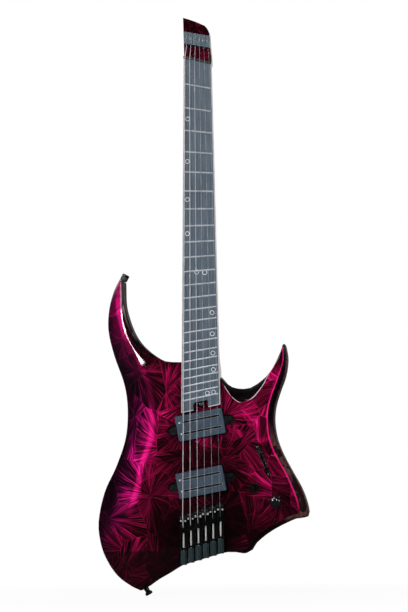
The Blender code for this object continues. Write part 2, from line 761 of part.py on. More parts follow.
def cut_control_cavity(body):
    ceiling = BODY_THICKNESS - TOP_OVER_CAVITY
    room = prism(round_corners(CAVITY_CORNERS, CAVITY_CORNER_RADIUS), -0.005, ceiling)
    apply_boolean(body, cutter("control_cavity", room))
    rebate_outline = round_corners(offset_outline(CAVITY_CORNERS, COVER_LIP), CAVITY_CORNER_RADIUS)
    rebate = prism(rebate_outline, -0.005, COVER_THICKNESS + 2 * FIT)
    apply_boolean(body, cutter("cover_rebate", rebate))
    slot_half = selector_slot_half(0) + CAVITY_GAP
    slot = box(-SELECTOR_SLOT_WIDTH / 2 - FIT, SELECTOR_SLOT_WIDTH / 2 + FIT,
               -TOP_OVER_CAVITY - 0.002, 0.004, -slot_half, slot_half)
    place_selector(body, "selector_slot", slot)
    for name, spot, radius in (
        ("pot_hole", VOLUME_PLACE, POT_BUSHING_RADIUS),
        ("toggle_hole", TOGGLE_PLACE, TOGGLE_BUSHING_RADIUS),
    ):
        hole = turned(((radius + FIT, -TOP_OVER_CAVITY - 0.002), (radius + FIT, 0.004)), 16)
        apply_boolean(body, cutter(name, hole, (spot[0], front(0), spot[1])))


def place_selector(body, name, mesh):
    location = (SELECTOR_PLACE[0], front(0), SELECTOR_PLACE[1])
    apply_boolean(body, cutter(name, mesh, location, (0, -SELECTOR_TILT, 0)))


def cut_jack_seat(body):
    """Bore into the control cavity, and a flat seat for the flange."""
    gap = FIT
    seat = JACK_FACE_Z
    profile = (
        (JACK_BARREL_RADIUS + gap, seat + 0.030),
        (JACK_BARREL_RADIUS + gap, seat),
        (JACK_FLANGE_RADIUS + gap, seat),
        (JACK_FLANGE_RADIUS + gap, seat - 0.010),
    )
    bore = turned(profile, 24, axis="z")
    apply_boolean(body, cutter("jack_bore", bore, (JACK_X, -JACK_DEPTH, 0)))


def bore(radius, h_low, h_high, sides=8):
    return turned(((radius, h_low), (radius, h_high)), sides)


def cut_screw_bores(body):
    """All screw bores of the body are separate shafts in one cutter."""
    shafts = []
    for spot in (neck_pickup_place(), bridge_pickup_place()):
        for x, z in ear_points(spot):
            shafts.append(moved(bore(EAR_SCREW_RADIUS + FIT, PLATE_TOP - EAR_SCREW_LENGTH - 2 * FIT,
                                     EAR_FLOOR + FIT), (x, front(0), z)))
    for i in range(STRING_COUNT):
        place_at = unit_origin(i) + Vector((0, 0, -BRIDGE_SCREW_U))
        low = UNIT_FLOOR_TOP - BRIDGE_SCREW_LENGTH - 2 * FIT
        shafts.append(moved(bore(BRIDGE_SCREW_RADIUS + FIT, low, 0.003), place_at))
    for x, z in cover_screw_points():
        shafts.append(moved(bore(COVER_SCREW_RADIUS + FIT, 0.001, COVER_SCREW_LENGTH + 2 * FIT),
                            (x, 0, z)))
    for z_end in selector_screw_offsets():
        shaft = bore(SELECTOR_SCREW_RADIUS + FIT, -TOP_OVER_CAVITY - 0.002, 0.003)
        shafts.append(moved(shaft, selector_point(z_end)))
    apply_boolean(body, cutter("screw_bores", merge(shafts)))
    bolts = []
    for x, z in neck_bolt_points():
        profile = (
            (FERRULE_RADIUS + FIT, -0.005),
            (FERRULE_RADIUS + FIT, FERRULE_THICKNESS + 2 * FIT),
            (NECK_BOLT_RADIUS + FIT, FERRULE_THICKNESS + 2 * FIT),
            (NECK_BOLT_RADIUS + FIT, BODY_THICKNESS - POCKET_DEPTH + 0.004),
        )
        bolts.append(moved(turned(profile, 16), (x, 0, z)))
    apply_boolean(body, cutter("neck_bolt_bores", merge(bolts)))
    straps = []
    for centre, turn in strap_seats():
        straps.append(moved(turned(((BUTTON_SCREW_RADIUS + FIT, -BUTTON_SCREW_DEPTH - FIT),
                                    (BUTTON_SCREW_RADIUS + FIT, 0.004)), 8, axis="z"),
                            centre, turn))
    apply_boolean(body, cutter("strap_bores", merge(straps)))


# Neck, board, nut and frets

def neck_section(z, depth, squareness, points=12):
    left = edge_x(z, -1)
    right = edge_x(z, 1)
    middle = (left + right) / 2
    half = (right - left) / 2
    ring = []
    for k in range(points + 1):
        angle = math.pi * k / points
        c = math.cos(angle)
        s = math.sin(angle)
        x = middle + half * math.copysign(abs(c) ** (2 / squareness), c)
        h = NECK_FRONT_HEIGHT - depth * s ** (2 / squareness)
        ring.append((x, front(h), z))
    return ring


def make_neck():
    tenon_depth = NECK_FRONT_HEIGHT - TENON_BOTTOM_HEIGHT
    nut_top = max(edge_point(0, -1)[1], edge_point(0, 1)[1]) + NUT_LENGTH + 2 * FIT
    thick_z = (NUT_Z + HEEL_Z) / 2
    slim_heel = NECK_DEPTH_MIDDLE + 0.4 * (tenon_depth - NECK_DEPTH_MIDDLE)
    sections = [
        (TENON_END_Z, tenon_depth, 40),
        (HEEL_Z, tenon_depth, 40),
        (HEEL_Z + HEEL_TRANSITION / 4, tenon_depth, 6),
        (HEEL_Z + HEEL_TRANSITION / 2, slim_heel, 3.2),
        (HEEL_Z + HEEL_TRANSITION, NECK_DEPTH_MIDDLE, 2.5),
        (thick_z, (NECK_DEPTH_MIDDLE + NECK_DEPTH_NUT) / 2, 2.4),
        (NUT_Z - 0.02, NECK_DEPTH_NUT, 2.4),
        (nut_top, NECK_DEPTH_NUT, 2.6),
    ]
    neck = place("neck", loft([neck_section(*section) for section in sections], 40),
                 "dark_wine_wood")
    outline = []
    for side in (-1, 1):
        x, z = edge_point(0, side, FIT)
        outline.append((x, z))
    outline.append((edge_x(NUT_Z, 1) - FIT, NUT_Z + NUT_LENGTH))
    outline += [(x, NUT_Z + z) for x, z in HEAD_OUTLINE]
    outline.append((edge_x(NUT_Z, -1) + FIT, NUT_Z + NUT_LENGTH))
    head = prism(outline, HEAD_FRONT_HEIGHT - HEAD_THICKNESS, HEAD_FRONT_HEIGHT)
    apply_boolean(neck, cutter("head_add", head, (0, front(0), 0)), "UNION")
    half = TRUSS_WIDTH / 2
    channel = box(-half, half, NECK_FRONT_HEIGHT - TRUSS_DEPTH, NECK_FRONT_HEIGHT + 0.003,
                  TENON_END_Z - 0.004, NUT_Z - TRUSS_END_BELOW_NUT)
    apply_boolean(neck, cutter("truss_channel", channel, (0, front(0), 0)))
    bolts = []
    for x, z in neck_bolt_points():
        shaft = bore(NECK_BOLT_RADIUS + FIT, -POCKET_DEPTH - 0.004,
                     -POCKET_DEPTH + NECK_BOLT_GRIP + 2 * FIT)
        bolts.append(moved(shaft, (x, 0, z)))
    apply_boolean(neck, cutter("neck_bolts", merge(bolts), (0, front(0), 0)))


def board_section(fraction, inset, low, high, columns=6):
    """Cross-section of the board on a slanted line, with its crowned top."""
    left = Vector(edge_point(fraction, -1, inset))
    right = Vector(edge_point(fraction, 1, inset))
    ring = [(left.x, front(low), left.y), (right.x, front(low), right.y)]
    for k in range(columns + 1):
        point = right.lerp(left, k / columns)
        ring.append((point.x, front(high - crown(point.x)), point.y))
    return ring


def board_notch(widen=0.0):
    half = NOTCH_WIDTH / 2 + widen
    slope = fan_slope(END_FRACTION)
    top = NOTCH_LENGTH + widen
    corner = NOTCH_CORNER + widen
    points = [(half, -0.012), (half, top - corner)]
    for k in range(1, 5):
        angle = math.pi / 2 * k / 4
        points.append((half - corner + corner * math.cos(angle),
                       top - corner + corner * math.sin(angle)))
    for k in range(5):
        angle = math.pi / 2 + math.pi / 2 * k / 4
        points.append((-half + corner + corner * math.cos(angle),
                       top - corner + corner * math.sin(angle)))
    points.append((-half, -0.012))
    return [(x, BOARD_END_Z + z + slope * x) for x, z in points]


def fan_slope(fraction):
    bass = fan_point(fraction, 0)
    treble = fan_point(fraction, 1)
    return (treble[1] - bass[1]) / (treble[0] - bass[0])


def make_board():
    """Crowned board with its frets, open at the lower end for the truss rod's wheel."""
    inset = BINDING_WIDTH + FIT
    step = inset / ((SCALE_BASS + SCALE_TREBLE) / 2)
    sections = [board_section(fraction, inset, BOARD_BOTTOM_HEIGHT, BOARD_TOP_HEIGHT)
                for fraction in (0, 0.4, END_FRACTION - step)]
    board = place("fretboard", loft(sections), "slate_board")
    notch = prism(board_notch(), BOARD_BOTTOM_HEIGHT - 0.003, BOARD_TOP_HEIGHT + 0.003)
    apply_boolean(board, cutter("board_notch", notch, (0, front(0), 0)))
    apply_boolean(board, cutter("frets", merge(fret_bars(inset + FIT))), "UNION")
    make_binding(step)


def fret_bars(inset, columns=4):
    """Each fret is a crowned bar that follows the slanted line and the board's radius."""
    profile = ((-0.5, 0.0), (-0.38, 0.75), (0.0, 1.0), (0.38, 0.75), (0.5, 0.0))
    height = FRET_HEIGHT + FRET_ROOT
    bars = []
    for number in range(1, FRET_COUNT + 1):
        fraction = fret_fraction(number)
        left = Vector(edge_point(fraction, -1, inset))
        right = Vector(edge_point(fraction, 1, inset))
        rings = []
        for k in range(columns + 1):
            point = left.lerp(right, k / columns)
            root = BOARD_TOP_HEIGHT - FRET_ROOT - crown(point.x)
            rings.append([(point.x, front(root + height * rise), point.y + FRET_WIDTH * across)
                          for across, rise in profile])
        bars.append(loft(rings, 40))
    return bars


def make_binding(step):
    """Strips along both sides that turn the corner and run to the notch."""
    height = BOARD_TOP_HEIGHT - crown(edge_point(END_FRACTION, 1)[0]) - FIT
    low = END_FRACTION - step
    slope = fan_slope(END_FRACTION)
    for side, name in ((-1, "binding_bass"), (1, "binding_treble")):
        start = edge_point(0, side)
        start_in = edge_point(0, side, BINDING_WIDTH)
        corner = edge_point(END_FRACTION, side)
        corner_in = edge_point(low + FIT / SCALE_BASS, side, BINDING_WIDTH)
        half = NOTCH_WIDTH / 2 * side
        end = (half, BOARD_END_Z + slope * half)
        end_in = (half, end[1] + BINDING_WIDTH)
        outline = (start, corner, end, end_in, corner_in, start_in)
        place(name, prism(outline, BOARD_BOTTOM_HEIGHT, height), "pale_binding", (0, front(0), 0))


def make_nut():
    """Slanted bar just above the board, with its top crowned like the frets."""
    low = NECK_FRONT_HEIGHT + FIT
    rings = []
    left = Vector(edge_point(0, -1))
    right = Vector(edge_point(0, 1))
    for k in range(7):
        point = left.lerp(right, k / 6)
        top = FRET_TOP_HEIGHT + ACTION_AT_NUT - FIT - crown(point.x)
        near = point.y + FIT
        far = near + NUT_LENGTH
        rings.append([(point.x, front(low), near), (point.x, front(top), near),
                      (point.x, front(top - 0.0009), far), (point.x, front(low), far)])
    place("nut", loft(rings), "black_plastic")


def make_truss_rod():
    half = TRUSS_WIDTH / 2 - FIT
    low = NECK_FRONT_HEIGHT - TRUSS_DEPTH + FIT
    bar = box(-half, half, low, NECK_FRONT_HEIGHT - FIT, TENON_END_Z + RUNNING_GAP,
              NUT_Z - TRUSS_END_BELOW_NUT - FIT)
    rod = place("truss_rod", bar, "black_metal", (0, front(0), 0))
    shaft = turned(((TRUSS_SHAFT_RADIUS, -WHEEL_LENGTH - RUNNING_GAP), (TRUSS_SHAFT_RADIUS, 0.004)),
                   12, axis="z")
    tail = cutter("rod_tail", shaft, (0, front(TRUSS_AXIS_HEIGHT), TENON_END_Z))
    apply_boolean(rod, tail, "UNION")
    make_truss_wheel()


def make_truss_wheel():
    """Toothed wheel that a rod-like tool turns from the front, through the notch."""
    points = []
    slot = WHEEL_SLOT_WIDTH / 2
    floor = WHEEL_RADIUS - WHEEL_SLOT_DEPTH
    for k in range(WHEEL_SLOTS):
        middle = 2 * math.pi * k / WHEEL_SLOTS
        for radius, sign in ((WHEEL_RADIUS, -1), (floor, -1), (floor, 1), (WHEEL_RADIUS, 1)):
            angle = middle + sign * math.asin(slot / radius)
            points.append((radius * math.cos(angle), radius * math.sin(angle)))
        between = middle + math.pi / WHEEL_SLOTS
        points.append((WHEEL_RADIUS * math.cos(between), WHEEL_RADIUS * math.sin(between)))
    rings = [[(x, y, z) for x, y in points] for z in (-WHEEL_LENGTH, 0)]
    place_z = TENON_END_Z - RUNNING_GAP
    spot = (0, front(TRUSS_AXIS_HEIGHT), place_z)
    wheel = place("truss_wheel", loft(rings), "slate_metal", spot)
    eye = turned(((TRUSS_SHAFT_RADIUS + FIT, -WHEEL_LENGTH - 0.002),
                  (TRUSS_SHAFT_RADIUS + FIT, 0.002)), 12, axis="z")
    apply_boolean(wheel, cutter("wheel_eye", eye, spot))


# Headpiece

def slanted_block(width, length, low, high):
    """Block with ends that follow the headpiece's slant."""
    half = width / 2
    rise = HEADPIECE_SLOPE * half
    outline = ((-half, -length / 2 - rise), (half, -length / 2 + rise),
               (half, length / 2 + rise), (-half, length / 2 - rise))
    return prism(outline, low, high)


def clamp_place(i):
    x = string_share(i) * CLAMP_PITCH * (STRING_COUNT - 1)
    return x, HEADPIECE_Z + HEADPIECE_SLOPE * x


def clamp_floor():
    return HEAD_FRONT_HEIGHT + FIT + HEADPIECE_BASE


def clamp_string_height():
    return clamp_floor() + FIT + CLAMP_GROOVE_HEIGHT / 2


def make_headpiece():
    """Base plate with one clamp block per string; each block's cap screw is sunk in its top."""
    width = CLAMP_PITCH * (STRING_COUNT - 1) + CLAMP_WIDTH
    base = slanted_block(width, HEADPIECE_LENGTH, HEAD_FRONT_HEIGHT + FIT, clamp_floor())
    place("headpiece_base", base, "slate_metal", (0, front(0), HEADPIECE_Z))
    low = clamp_floor() + FIT
    top = low + CLAMP_HEIGHT
    half = CLAMP_GROOVE_WIDTH / 2
    block = slanted_block(CLAMP_WIDTH, HEADPIECE_LENGTH, low, top)
    groove = box(-half, half, low - 0.001, low + CLAMP_GROOVE_HEIGHT,
                 -HEADPIECE_LENGTH, HEADPIECE_LENGTH)
    socket = turned(((CLAMP_HEAD_RADIUS + FIT, top - CLAMP_HEAD_DEPTH),
                     (CLAMP_HEAD_RADIUS + FIT, top + 0.001)), 12)
    head = turned(((CLAMP_HEAD_RADIUS, top - CLAMP_HEAD_DEPTH - 0.0004),
                   (CLAMP_HEAD_RADIUS, top - FIT)), 12)
    for i in range(STRING_COUNT):
        x, z = clamp_place(i)
        here = (x, front(0), z)
        clamp = place(f"string_clamp_{i + 1}", block.copy(), "slate_metal", here)
        apply_boolean(clamp, cutter(f"clamp_groove_{i + 1}", groove, here))
        apply_boolean(clamp, cutter(f"clamp_socket_{i + 1}", socket, here))
        apply_boolean(clamp, cutter(f"clamp_screw_{i + 1}", head, here), "UNION")


# Strings

def make_strings():
    for i, diameter in enumerate(STRING_DIAMETERS):
        radius = diameter / 2
        clamp_x, clamp_z = clamp_place(i)
        nut_x, nut_z = fan_point(0, i / (STRING_COUNT - 1))
        origin = unit_origin(i)
        clamp_mouth = clamp_z - HEADPIECE_LENGTH / 2 - 0.0010
        ball_z = origin.z - ball_u()
        saddle_back = origin.z - SADDLE_END - 4 * FIT
        nut_h = FRET_TOP_HEIGHT + ACTION_AT_NUT - crown(nut_x) + radius
        path = [
            (clamp_x, clamp_string_height(), clamp_z + HEADPIECE_LENGTH * 0.3),
            (clamp_x, clamp_string_height(), clamp_mouth),
            (nut_x, nut_h, nut_z + NUT_LENGTH / 3),
            (origin.x, witness_height(i) + radius, string_z(i, 1.0)),
            (origin.x, STRING_REST_HEIGHT, ball_z),
            (origin.x, STRING_REST_HEIGHT, origin.z - CARRIAGE_U - STRING_END_SETBACK),
        ]
        points = [(x, front(h), z) for x, h, z in path]
        place(f"string_{i + 1}", tube(points, radius), "string_steel")


# Bridge units

def ball_u():
    return CARRIAGE_U + BALL_SETBACK


def unit_point(i, u, h):
    return unit_origin(i) + Vector((0, -h, -u))


def side_profile(points, half):
    """Profile of (u, h) points, extruded across the unit."""
    return loft([[(x, -h, -u) for u, h in points] for x in (-half, half)])


def make_bridge_units():
    half = UNIT_WIDTH / 2
    inner = half - UNIT_WALL
    end = UNIT_LENGTH
    bulk = end - BULKHEAD
    nose = 0.0015
    profile = ((0, FIT), (end, FIT), (end, BULKHEAD_TOP - nose), (end - nose, BULKHEAD_TOP),
               (bulk, BULKHEAD_TOP), (bulk - nose, UNIT_WALL_TOP),
               (CHANNEL_START + 2 * nose, UNIT_WALL_TOP), (CHANNEL_START, UNIT_WALL_TOP - 2 * nose),
               (CHANNEL_START, UNIT_FLOOR_TOP), (0, UNIT_FLOOR_TOP))
    base_mesh = side_profile(profile, half)
    channel = box(-inner, inner, UNIT_FLOOR_TOP, BULKHEAD_TOP + 0.002, -bulk, 0.002)
    rod_bore = turned(((ROD_RADIUS + FIT, -end - 0.002), (ROD_RADIUS + FIT, -bulk + 0.002)),
                      12, axis="z")
    screw = base_screw()
    for i in range(STRING_COUNT):
        base = place(f"bridge_base_{i + 1}", base_mesh.copy(), "black_metal", unit_origin(i))
        apply_boolean(base, cutter(f"channel_{i + 1}", channel, unit_origin(i)))
        apply_boolean(base, cutter(f"rod_bore_{i + 1}", rod_bore,
                                   unit_point(i, 0, TUNER_AXIS_HEIGHT)))
        apply_boolean(base, cutter(f"base_screw_{i + 1}", screw,
                                   unit_point(i, BRIDGE_SCREW_U, 0)), "UNION")
    make_saddles()
    make_carriages(inner)
    make_tuner_knobs()


def base_screw():
    """Mounting screw; its head lies in the channel, just below the tuner's rod."""
    profile = (
        (BRIDGE_SCREW_RADIUS, UNIT_FLOOR_TOP - BRIDGE_SCREW_LENGTH),
        (BRIDGE_SCREW_RADIUS, UNIT_FLOOR_TOP - UNIT_FLOOR / 2),
        (BRIDGE_SCREW_HEAD, UNIT_FLOOR_TOP - UNIT_FLOOR / 2),
        (BRIDGE_SCREW_HEAD, TUNER_AXIS_HEIGHT - ROD_RADIUS - RUNNING_GAP),
    )
    return turned(profile, 10)


def make_saddles():
    """Crowned blocks, each standing on two height screws that reach the unit's floor."""
    half = UNIT_WIDTH / 2 - FIT / 2
    witness_u = UNIT_FRONT_ABOVE_WITNESS
    for i in range(STRING_COUNT):
        crest = witness_height(i) - FIT
        back = crest - 0.0030
        front_h = crest - 0.0034
        profile = ((SADDLE_START, SADDLE_UNDERSIDE), (SADDLE_END, SADDLE_UNDERSIDE),
                   (SADDLE_END, back), (SADDLE_SCREW_U - SADDLE_SCREW_RADIUS - 0.0008, back),
                   (witness_u + SADDLE_CROWN_WIDTH / 2, crest - 0.0005), (witness_u, crest),
                   (witness_u - SADDLE_CROWN_WIDTH / 2, crest - 0.0005), (SADDLE_START, front_h))
        saddle = place(f"bridge_saddle_{i + 1}", side_profile(profile, half), "black_metal",
                       unit_origin(i))
        screws = []
        for side in (-1, 1):
            spot = Vector((side * SADDLE_SCREW_SPACING / 2, 0, -SADDLE_SCREW_U))
            screws.append(moved(bore(SADDLE_SCREW_RADIUS, UNIT_FLOOR_TOP + FIT,
                                     back + SADDLE_SCREW_PROUD), spot))
        step = cutter(f"saddle_screws_{i + 1}", merge(screws), unit_origin(i))
        apply_boolean(saddle, step, "UNION")


def make_carriages(inner):
    """Sliding block on the tuner rod; the string lies in its open slot, through the ball."""
    half = inner - RUNNING_GAP
    low = UNIT_FLOOR_TOP + RUNNING_GAP - TUNER_AXIS_HEIGHT
    high = CARRIAGE_TOP - TUNER_AXIS_HEIGHT
    string_h = STRING_REST_HEIGHT - TUNER_AXIS_HEIGHT
    block = box(-half, half, low, high, -CARRIAGE_LENGTH, 0)
    side = BALL_RADIUS + FIT
    slot_low = string_h - SLOT_HALF_WIDTH
    slot = box(-SLOT_HALF_WIDTH, SLOT_HALF_WIDTH, slot_low, high + 0.002,
               -CARRIAGE_LENGTH + CARRIAGE_WALL, 0.002)
    ball_front = -BALL_SETBACK
    pocket = box(-side, side, string_h - BALL_BORE - 0.0002, high + 0.002,
                 ball_front - BALL_LENGTH - FIT, ball_front + FIT)
    rod_bore = turned(((ROD_RADIUS + FIT, -CARRIAGE_LENGTH - 0.002), (ROD_RADIUS + FIT, 0.002)),
                      12, axis="z")
    ball = hollow_turned(((BALL_BORE, ball_front), (BALL_RADIUS, ball_front),
                          (BALL_RADIUS, ball_front - BALL_LENGTH),
                          (BALL_BORE, ball_front - BALL_LENGTH)), 12, axis="z")
    for i in range(STRING_COUNT):
        spot = unit_point(i, CARRIAGE_U, TUNER_AXIS_HEIGHT)
        carriage = place(f"tuner_carriage_{i + 1}", block.copy(), "slate_metal", spot)
        for name, shape in (("slot", slot), ("pocket", pocket), ("rod", rod_bore)):
            step = cutter(f"carriage_{name}_{i + 1}", shape, spot)
            apply_boolean(carriage, step)
        ring = cutter(f"string_ring_{i + 1}", ball, spot + Vector((0, -string_h, 0)))
        apply_boolean(carriage, ring, "UNION")


def make_tuner_knobs():
    """Fluted knob and its threaded rod turn together about the rod's axis."""
    def ring(radius, along):
        points = []
        for k in range(KNOB_FLUTES):
            middle = 2 * math.pi * k / KNOB_FLUTES + math.pi / 2
            half = 0.30 * 2 * math.pi / KNOB_FLUTES
            for angle, depth in ((middle - half, 0), (middle, KNOB_FLUTE_DEPTH), (middle + half, 0)):
                reach = radius - depth
                points.append((reach * math.cos(angle), -reach * math.sin(angle), along))
        return points
    start = 0.0
    end = -KNOB_LENGTH
    small = KNOB_RADIUS - KNOB_CHAMFER
    knob_mesh = loft([ring(small, start), ring(KNOB_RADIUS, start - KNOB_CHAMFER),
                      ring(KNOB_RADIUS, end + KNOB_CHAMFER), ring(small, end)], 30)
    reach = UNIT_LENGTH + KNOB_GAP - CARRIAGE_U - CARRIAGE_TRAVEL - RUNNING_GAP
    rod = turned(((ROD_RADIUS, -KNOB_LENGTH / 3), (ROD_RADIUS, reach)), 8, axis="z")
    for i in range(STRING_COUNT):
        spot = unit_point(i, UNIT_LENGTH + KNOB_GAP, TUNER_AXIS_HEIGHT)
        knob = place(f"tuner_knob_{i + 1}", knob_mesh.copy(), "slate_metal", spot)
        apply_boolean(knob, cutter(f"rod_{i + 1}", rod, spot), "UNION")


# Pickups

def ear_points(spot):
    points = []
    for side in (-1, 1):
        points.append((spot[0] + side * EAR_REACH * math.cos(PICKUP_TILT),
                       spot[1] + side * EAR_REACH * math.sin(PICKUP_TILT)))
    return points


def make_pickups():
    """Covers with two slots; each pickup's base plate carries the rails that fill them."""
    half_x = PICKUP_LENGTH / 2
    half_z = PICKUP_WIDTH / 2
    outline = round_corners(((-half_x, -half_z), (half_x, -half_z), (half_x, half_z),
                             (-half_x, half_z)), PICKUP_CORNER, 2)
    reach = BLADE_LENGTH / 2
    slots = []
    rails = []
    for side in (-1, 1):
        z0 = side * BLADE_SPACING / 2 - BLADE_WIDTH / 2
        z1 = z0 + BLADE_WIDTH
        slots.append(box(BLADE_SHIFT - reach - FIT, BLADE_SHIFT + reach + FIT,
                         -PICKUP_BELOW_TOP - 0.002, PICKUP_TOP + 0.002, z0 - FIT, z1 + FIT))
        rails.append(box(BLADE_SHIFT - reach, BLADE_SHIFT + reach,
                         PLATE_BOTTOM + PICKUP_PLATE / 2, PICKUP_TOP - FIT, z0, z1))
    ear_offsets = (Vector((-EAR_REACH, 0, 0)), Vector((EAR_REACH, 0, 0)))
    screw = turned((
        (EAR_SCREW_RADIUS, PLATE_TOP - EAR_SCREW_LENGTH),
        (EAR_SCREW_RADIUS, PLATE_TOP - PICKUP_PLATE / 2),
        (EAR_SCREW_HEAD, PLATE_TOP - PICKUP_PLATE / 2),
        (EAR_SCREW_HEAD, PLATE_TOP + EAR_SCREW_DOME / 2),
        (EAR_SCREW_HEAD * 0.6, PLATE_TOP + EAR_SCREW_DOME)), 12)
    middle = box(-half_x, half_x, PLATE_BOTTOM, PLATE_TOP, -half_z, half_z)
    extras = [middle] + rails + [moved(screw, offset) for offset in ear_offsets]
    for name, spot in (("neck", neck_pickup_place()), ("bridge", bridge_pickup_place())):
        location, rotation = pickup_frame(spot)
        cover = place(name + "_pickup", prism(outline, -PICKUP_BELOW_TOP, PICKUP_TOP), "slate_cover",
                      location, rotation)
        apply_boolean(cover, cutter(name + "_slots", merge(slots), location, rotation))
        ears = prism(stadium(2 * EAR_REACH, EAR_RADIUS), PLATE_BOTTOM, PLATE_TOP)
        core = place(name + "_pickup_rails", ears, "black_metal", location, rotation)
        for k, extra in enumerate(extras):
            step = cutter(f"{name}_rails_{k}", extra.copy(), location, rotation)
            apply_boolean(core, step, "UNION")


# Controls

def make_volume():
    x, z = VOLUME_PLACE
    here = (x, front(0), z)
    ceiling = -TOP_OVER_CAVITY - FIT
    low = ceiling - POT_LENGTH
    nut_top = FIT + POT_NUT_HEIGHT
    bushing_top = nut_top + 0.0012
    shaft_room = POT_SHAFT_RADIUS + FIT
    shaft_low = ceiling - 0.003
    profile = (
        (POT_RADIUS, low),
        (POT_RADIUS, ceiling),
        (POT_BUSHING_RADIUS, ceiling),
        (POT_BUSHING_RADIUS, FIT),
        (POT_NUT_RADIUS, FIT),
        (POT_NUT_RADIUS, nut_top),
        (POT_BUSHING_RADIUS, nut_top),
        (POT_BUSHING_RADIUS, bushing_top),
        (shaft_room, bushing_top),
        (shaft_room, shaft_low - RUNNING_GAP),
    )
    place("volume_pot", turned(profile, 20), "bright_steel", here)
    r = VOLUME_KNOB_RADIUS
    top = VOLUME_KNOB_LIFT + VOLUME_KNOB_HEIGHT
    base = VOLUME_KNOB_LIFT
    knob_profile = (
        (POT_SHAFT_RADIUS, shaft_low),
        (POT_SHAFT_RADIUS, base),
        (r - 0.0006, base),
        (r, base + 0.0010),
        (r, top - 0.0045),
        (r * 0.93, top - 0.0024),
        (r * 0.72, top - 0.0009),
        (r * 0.36, top - 0.0001),
    )
    place("volume_knob", turned(knob_profile, 24), "black_metal", here)


def make_toggle():
    x, z = TOGGLE_PLACE
    here = (x, front(0), z)
    ceiling = -TOP_OVER_CAVITY - FIT
    nut_top = FIT + TOGGLE_NUT_HEIGHT
    bore_low = -0.0030
    profile = (
        (TOGGLE_BUSHING_RADIUS, ceiling - 0.002),
        (TOGGLE_BUSHING_RADIUS, FIT),
        (TOGGLE_NUT_RADIUS, FIT),
        (TOGGLE_NUT_RADIUS, nut_top - 0.0006),
        (TOGGLE_NUT_RADIUS - 0.0006, nut_top),
        (TOGGLE_BUSHING_RADIUS, nut_top),
        (TOGGLE_BUSHING_RADIUS, nut_top + 0.0008),
        (TOGGLE_BORE_RADIUS, nut_top + 0.0008),
        (TOGGLE_BORE_RADIUS, bore_low),
    )
    switch = place("toggle_switch", turned(profile, 20), "black_metal", here)
    wide, deep, tall = TOGGLE_BODY
    case = box(-wide / 2, wide / 2, ceiling - tall, ceiling, -deep / 2, deep / 2)
    apply_boolean(switch, cutter("toggle_case", case, here), "UNION")
    pivot = bore_low + TOGGLE_BORE_RADIUS
    top = nut_top + TOGGLE_LEVER_LENGTH - pivot
    ball = TOGGLE_BORE_RADIUS - FIT
    lever_profile = (
        (ball * 0.5, -ball * 0.8),
        (ball, 0.0),
        (TOGGLE_LEVER_RADIUS, ball * 0.9),
        (TOGGLE_LEVER_RADIUS, ball + 0.002),
        (TOGGLE_TIP_RADIUS, top - 0.0030),
        (TOGGLE_TIP_RADIUS * 0.8, top - 0.0006),
        (TOGGLE_TIP_RADIUS * 0.4, top),
    )
    place("toggle_lever", turned(lever_profile, 12), "black_metal", (x, front(pivot), z))


def selector_point(z_local, h=0.0):
    """World place of a point on the selector's long axis."""
    x = SELECTOR_PLACE[0] - z_local * math.sin(SELECTOR_TILT)
    z = SELECTOR_PLACE[1] + z_local * math.cos(SELECTOR_TILT)
    return Vector((x, front(h), z))


def selector_screw_offsets():
    return (-SELECTOR_SCREW_SPACING / 2, SELECTOR_SCREW_SPACING / 2)


def selector_slot_half(h):
    """Half length that the leaning lever sweeps at a height."""
    rise = SELECTOR_PIVOT_DEPTH + h
    return rise * math.tan(SELECTOR_LEAN) + SELECTOR_LEVER_WIDTH / 2 / math.cos(SELECTOR_LEAN)


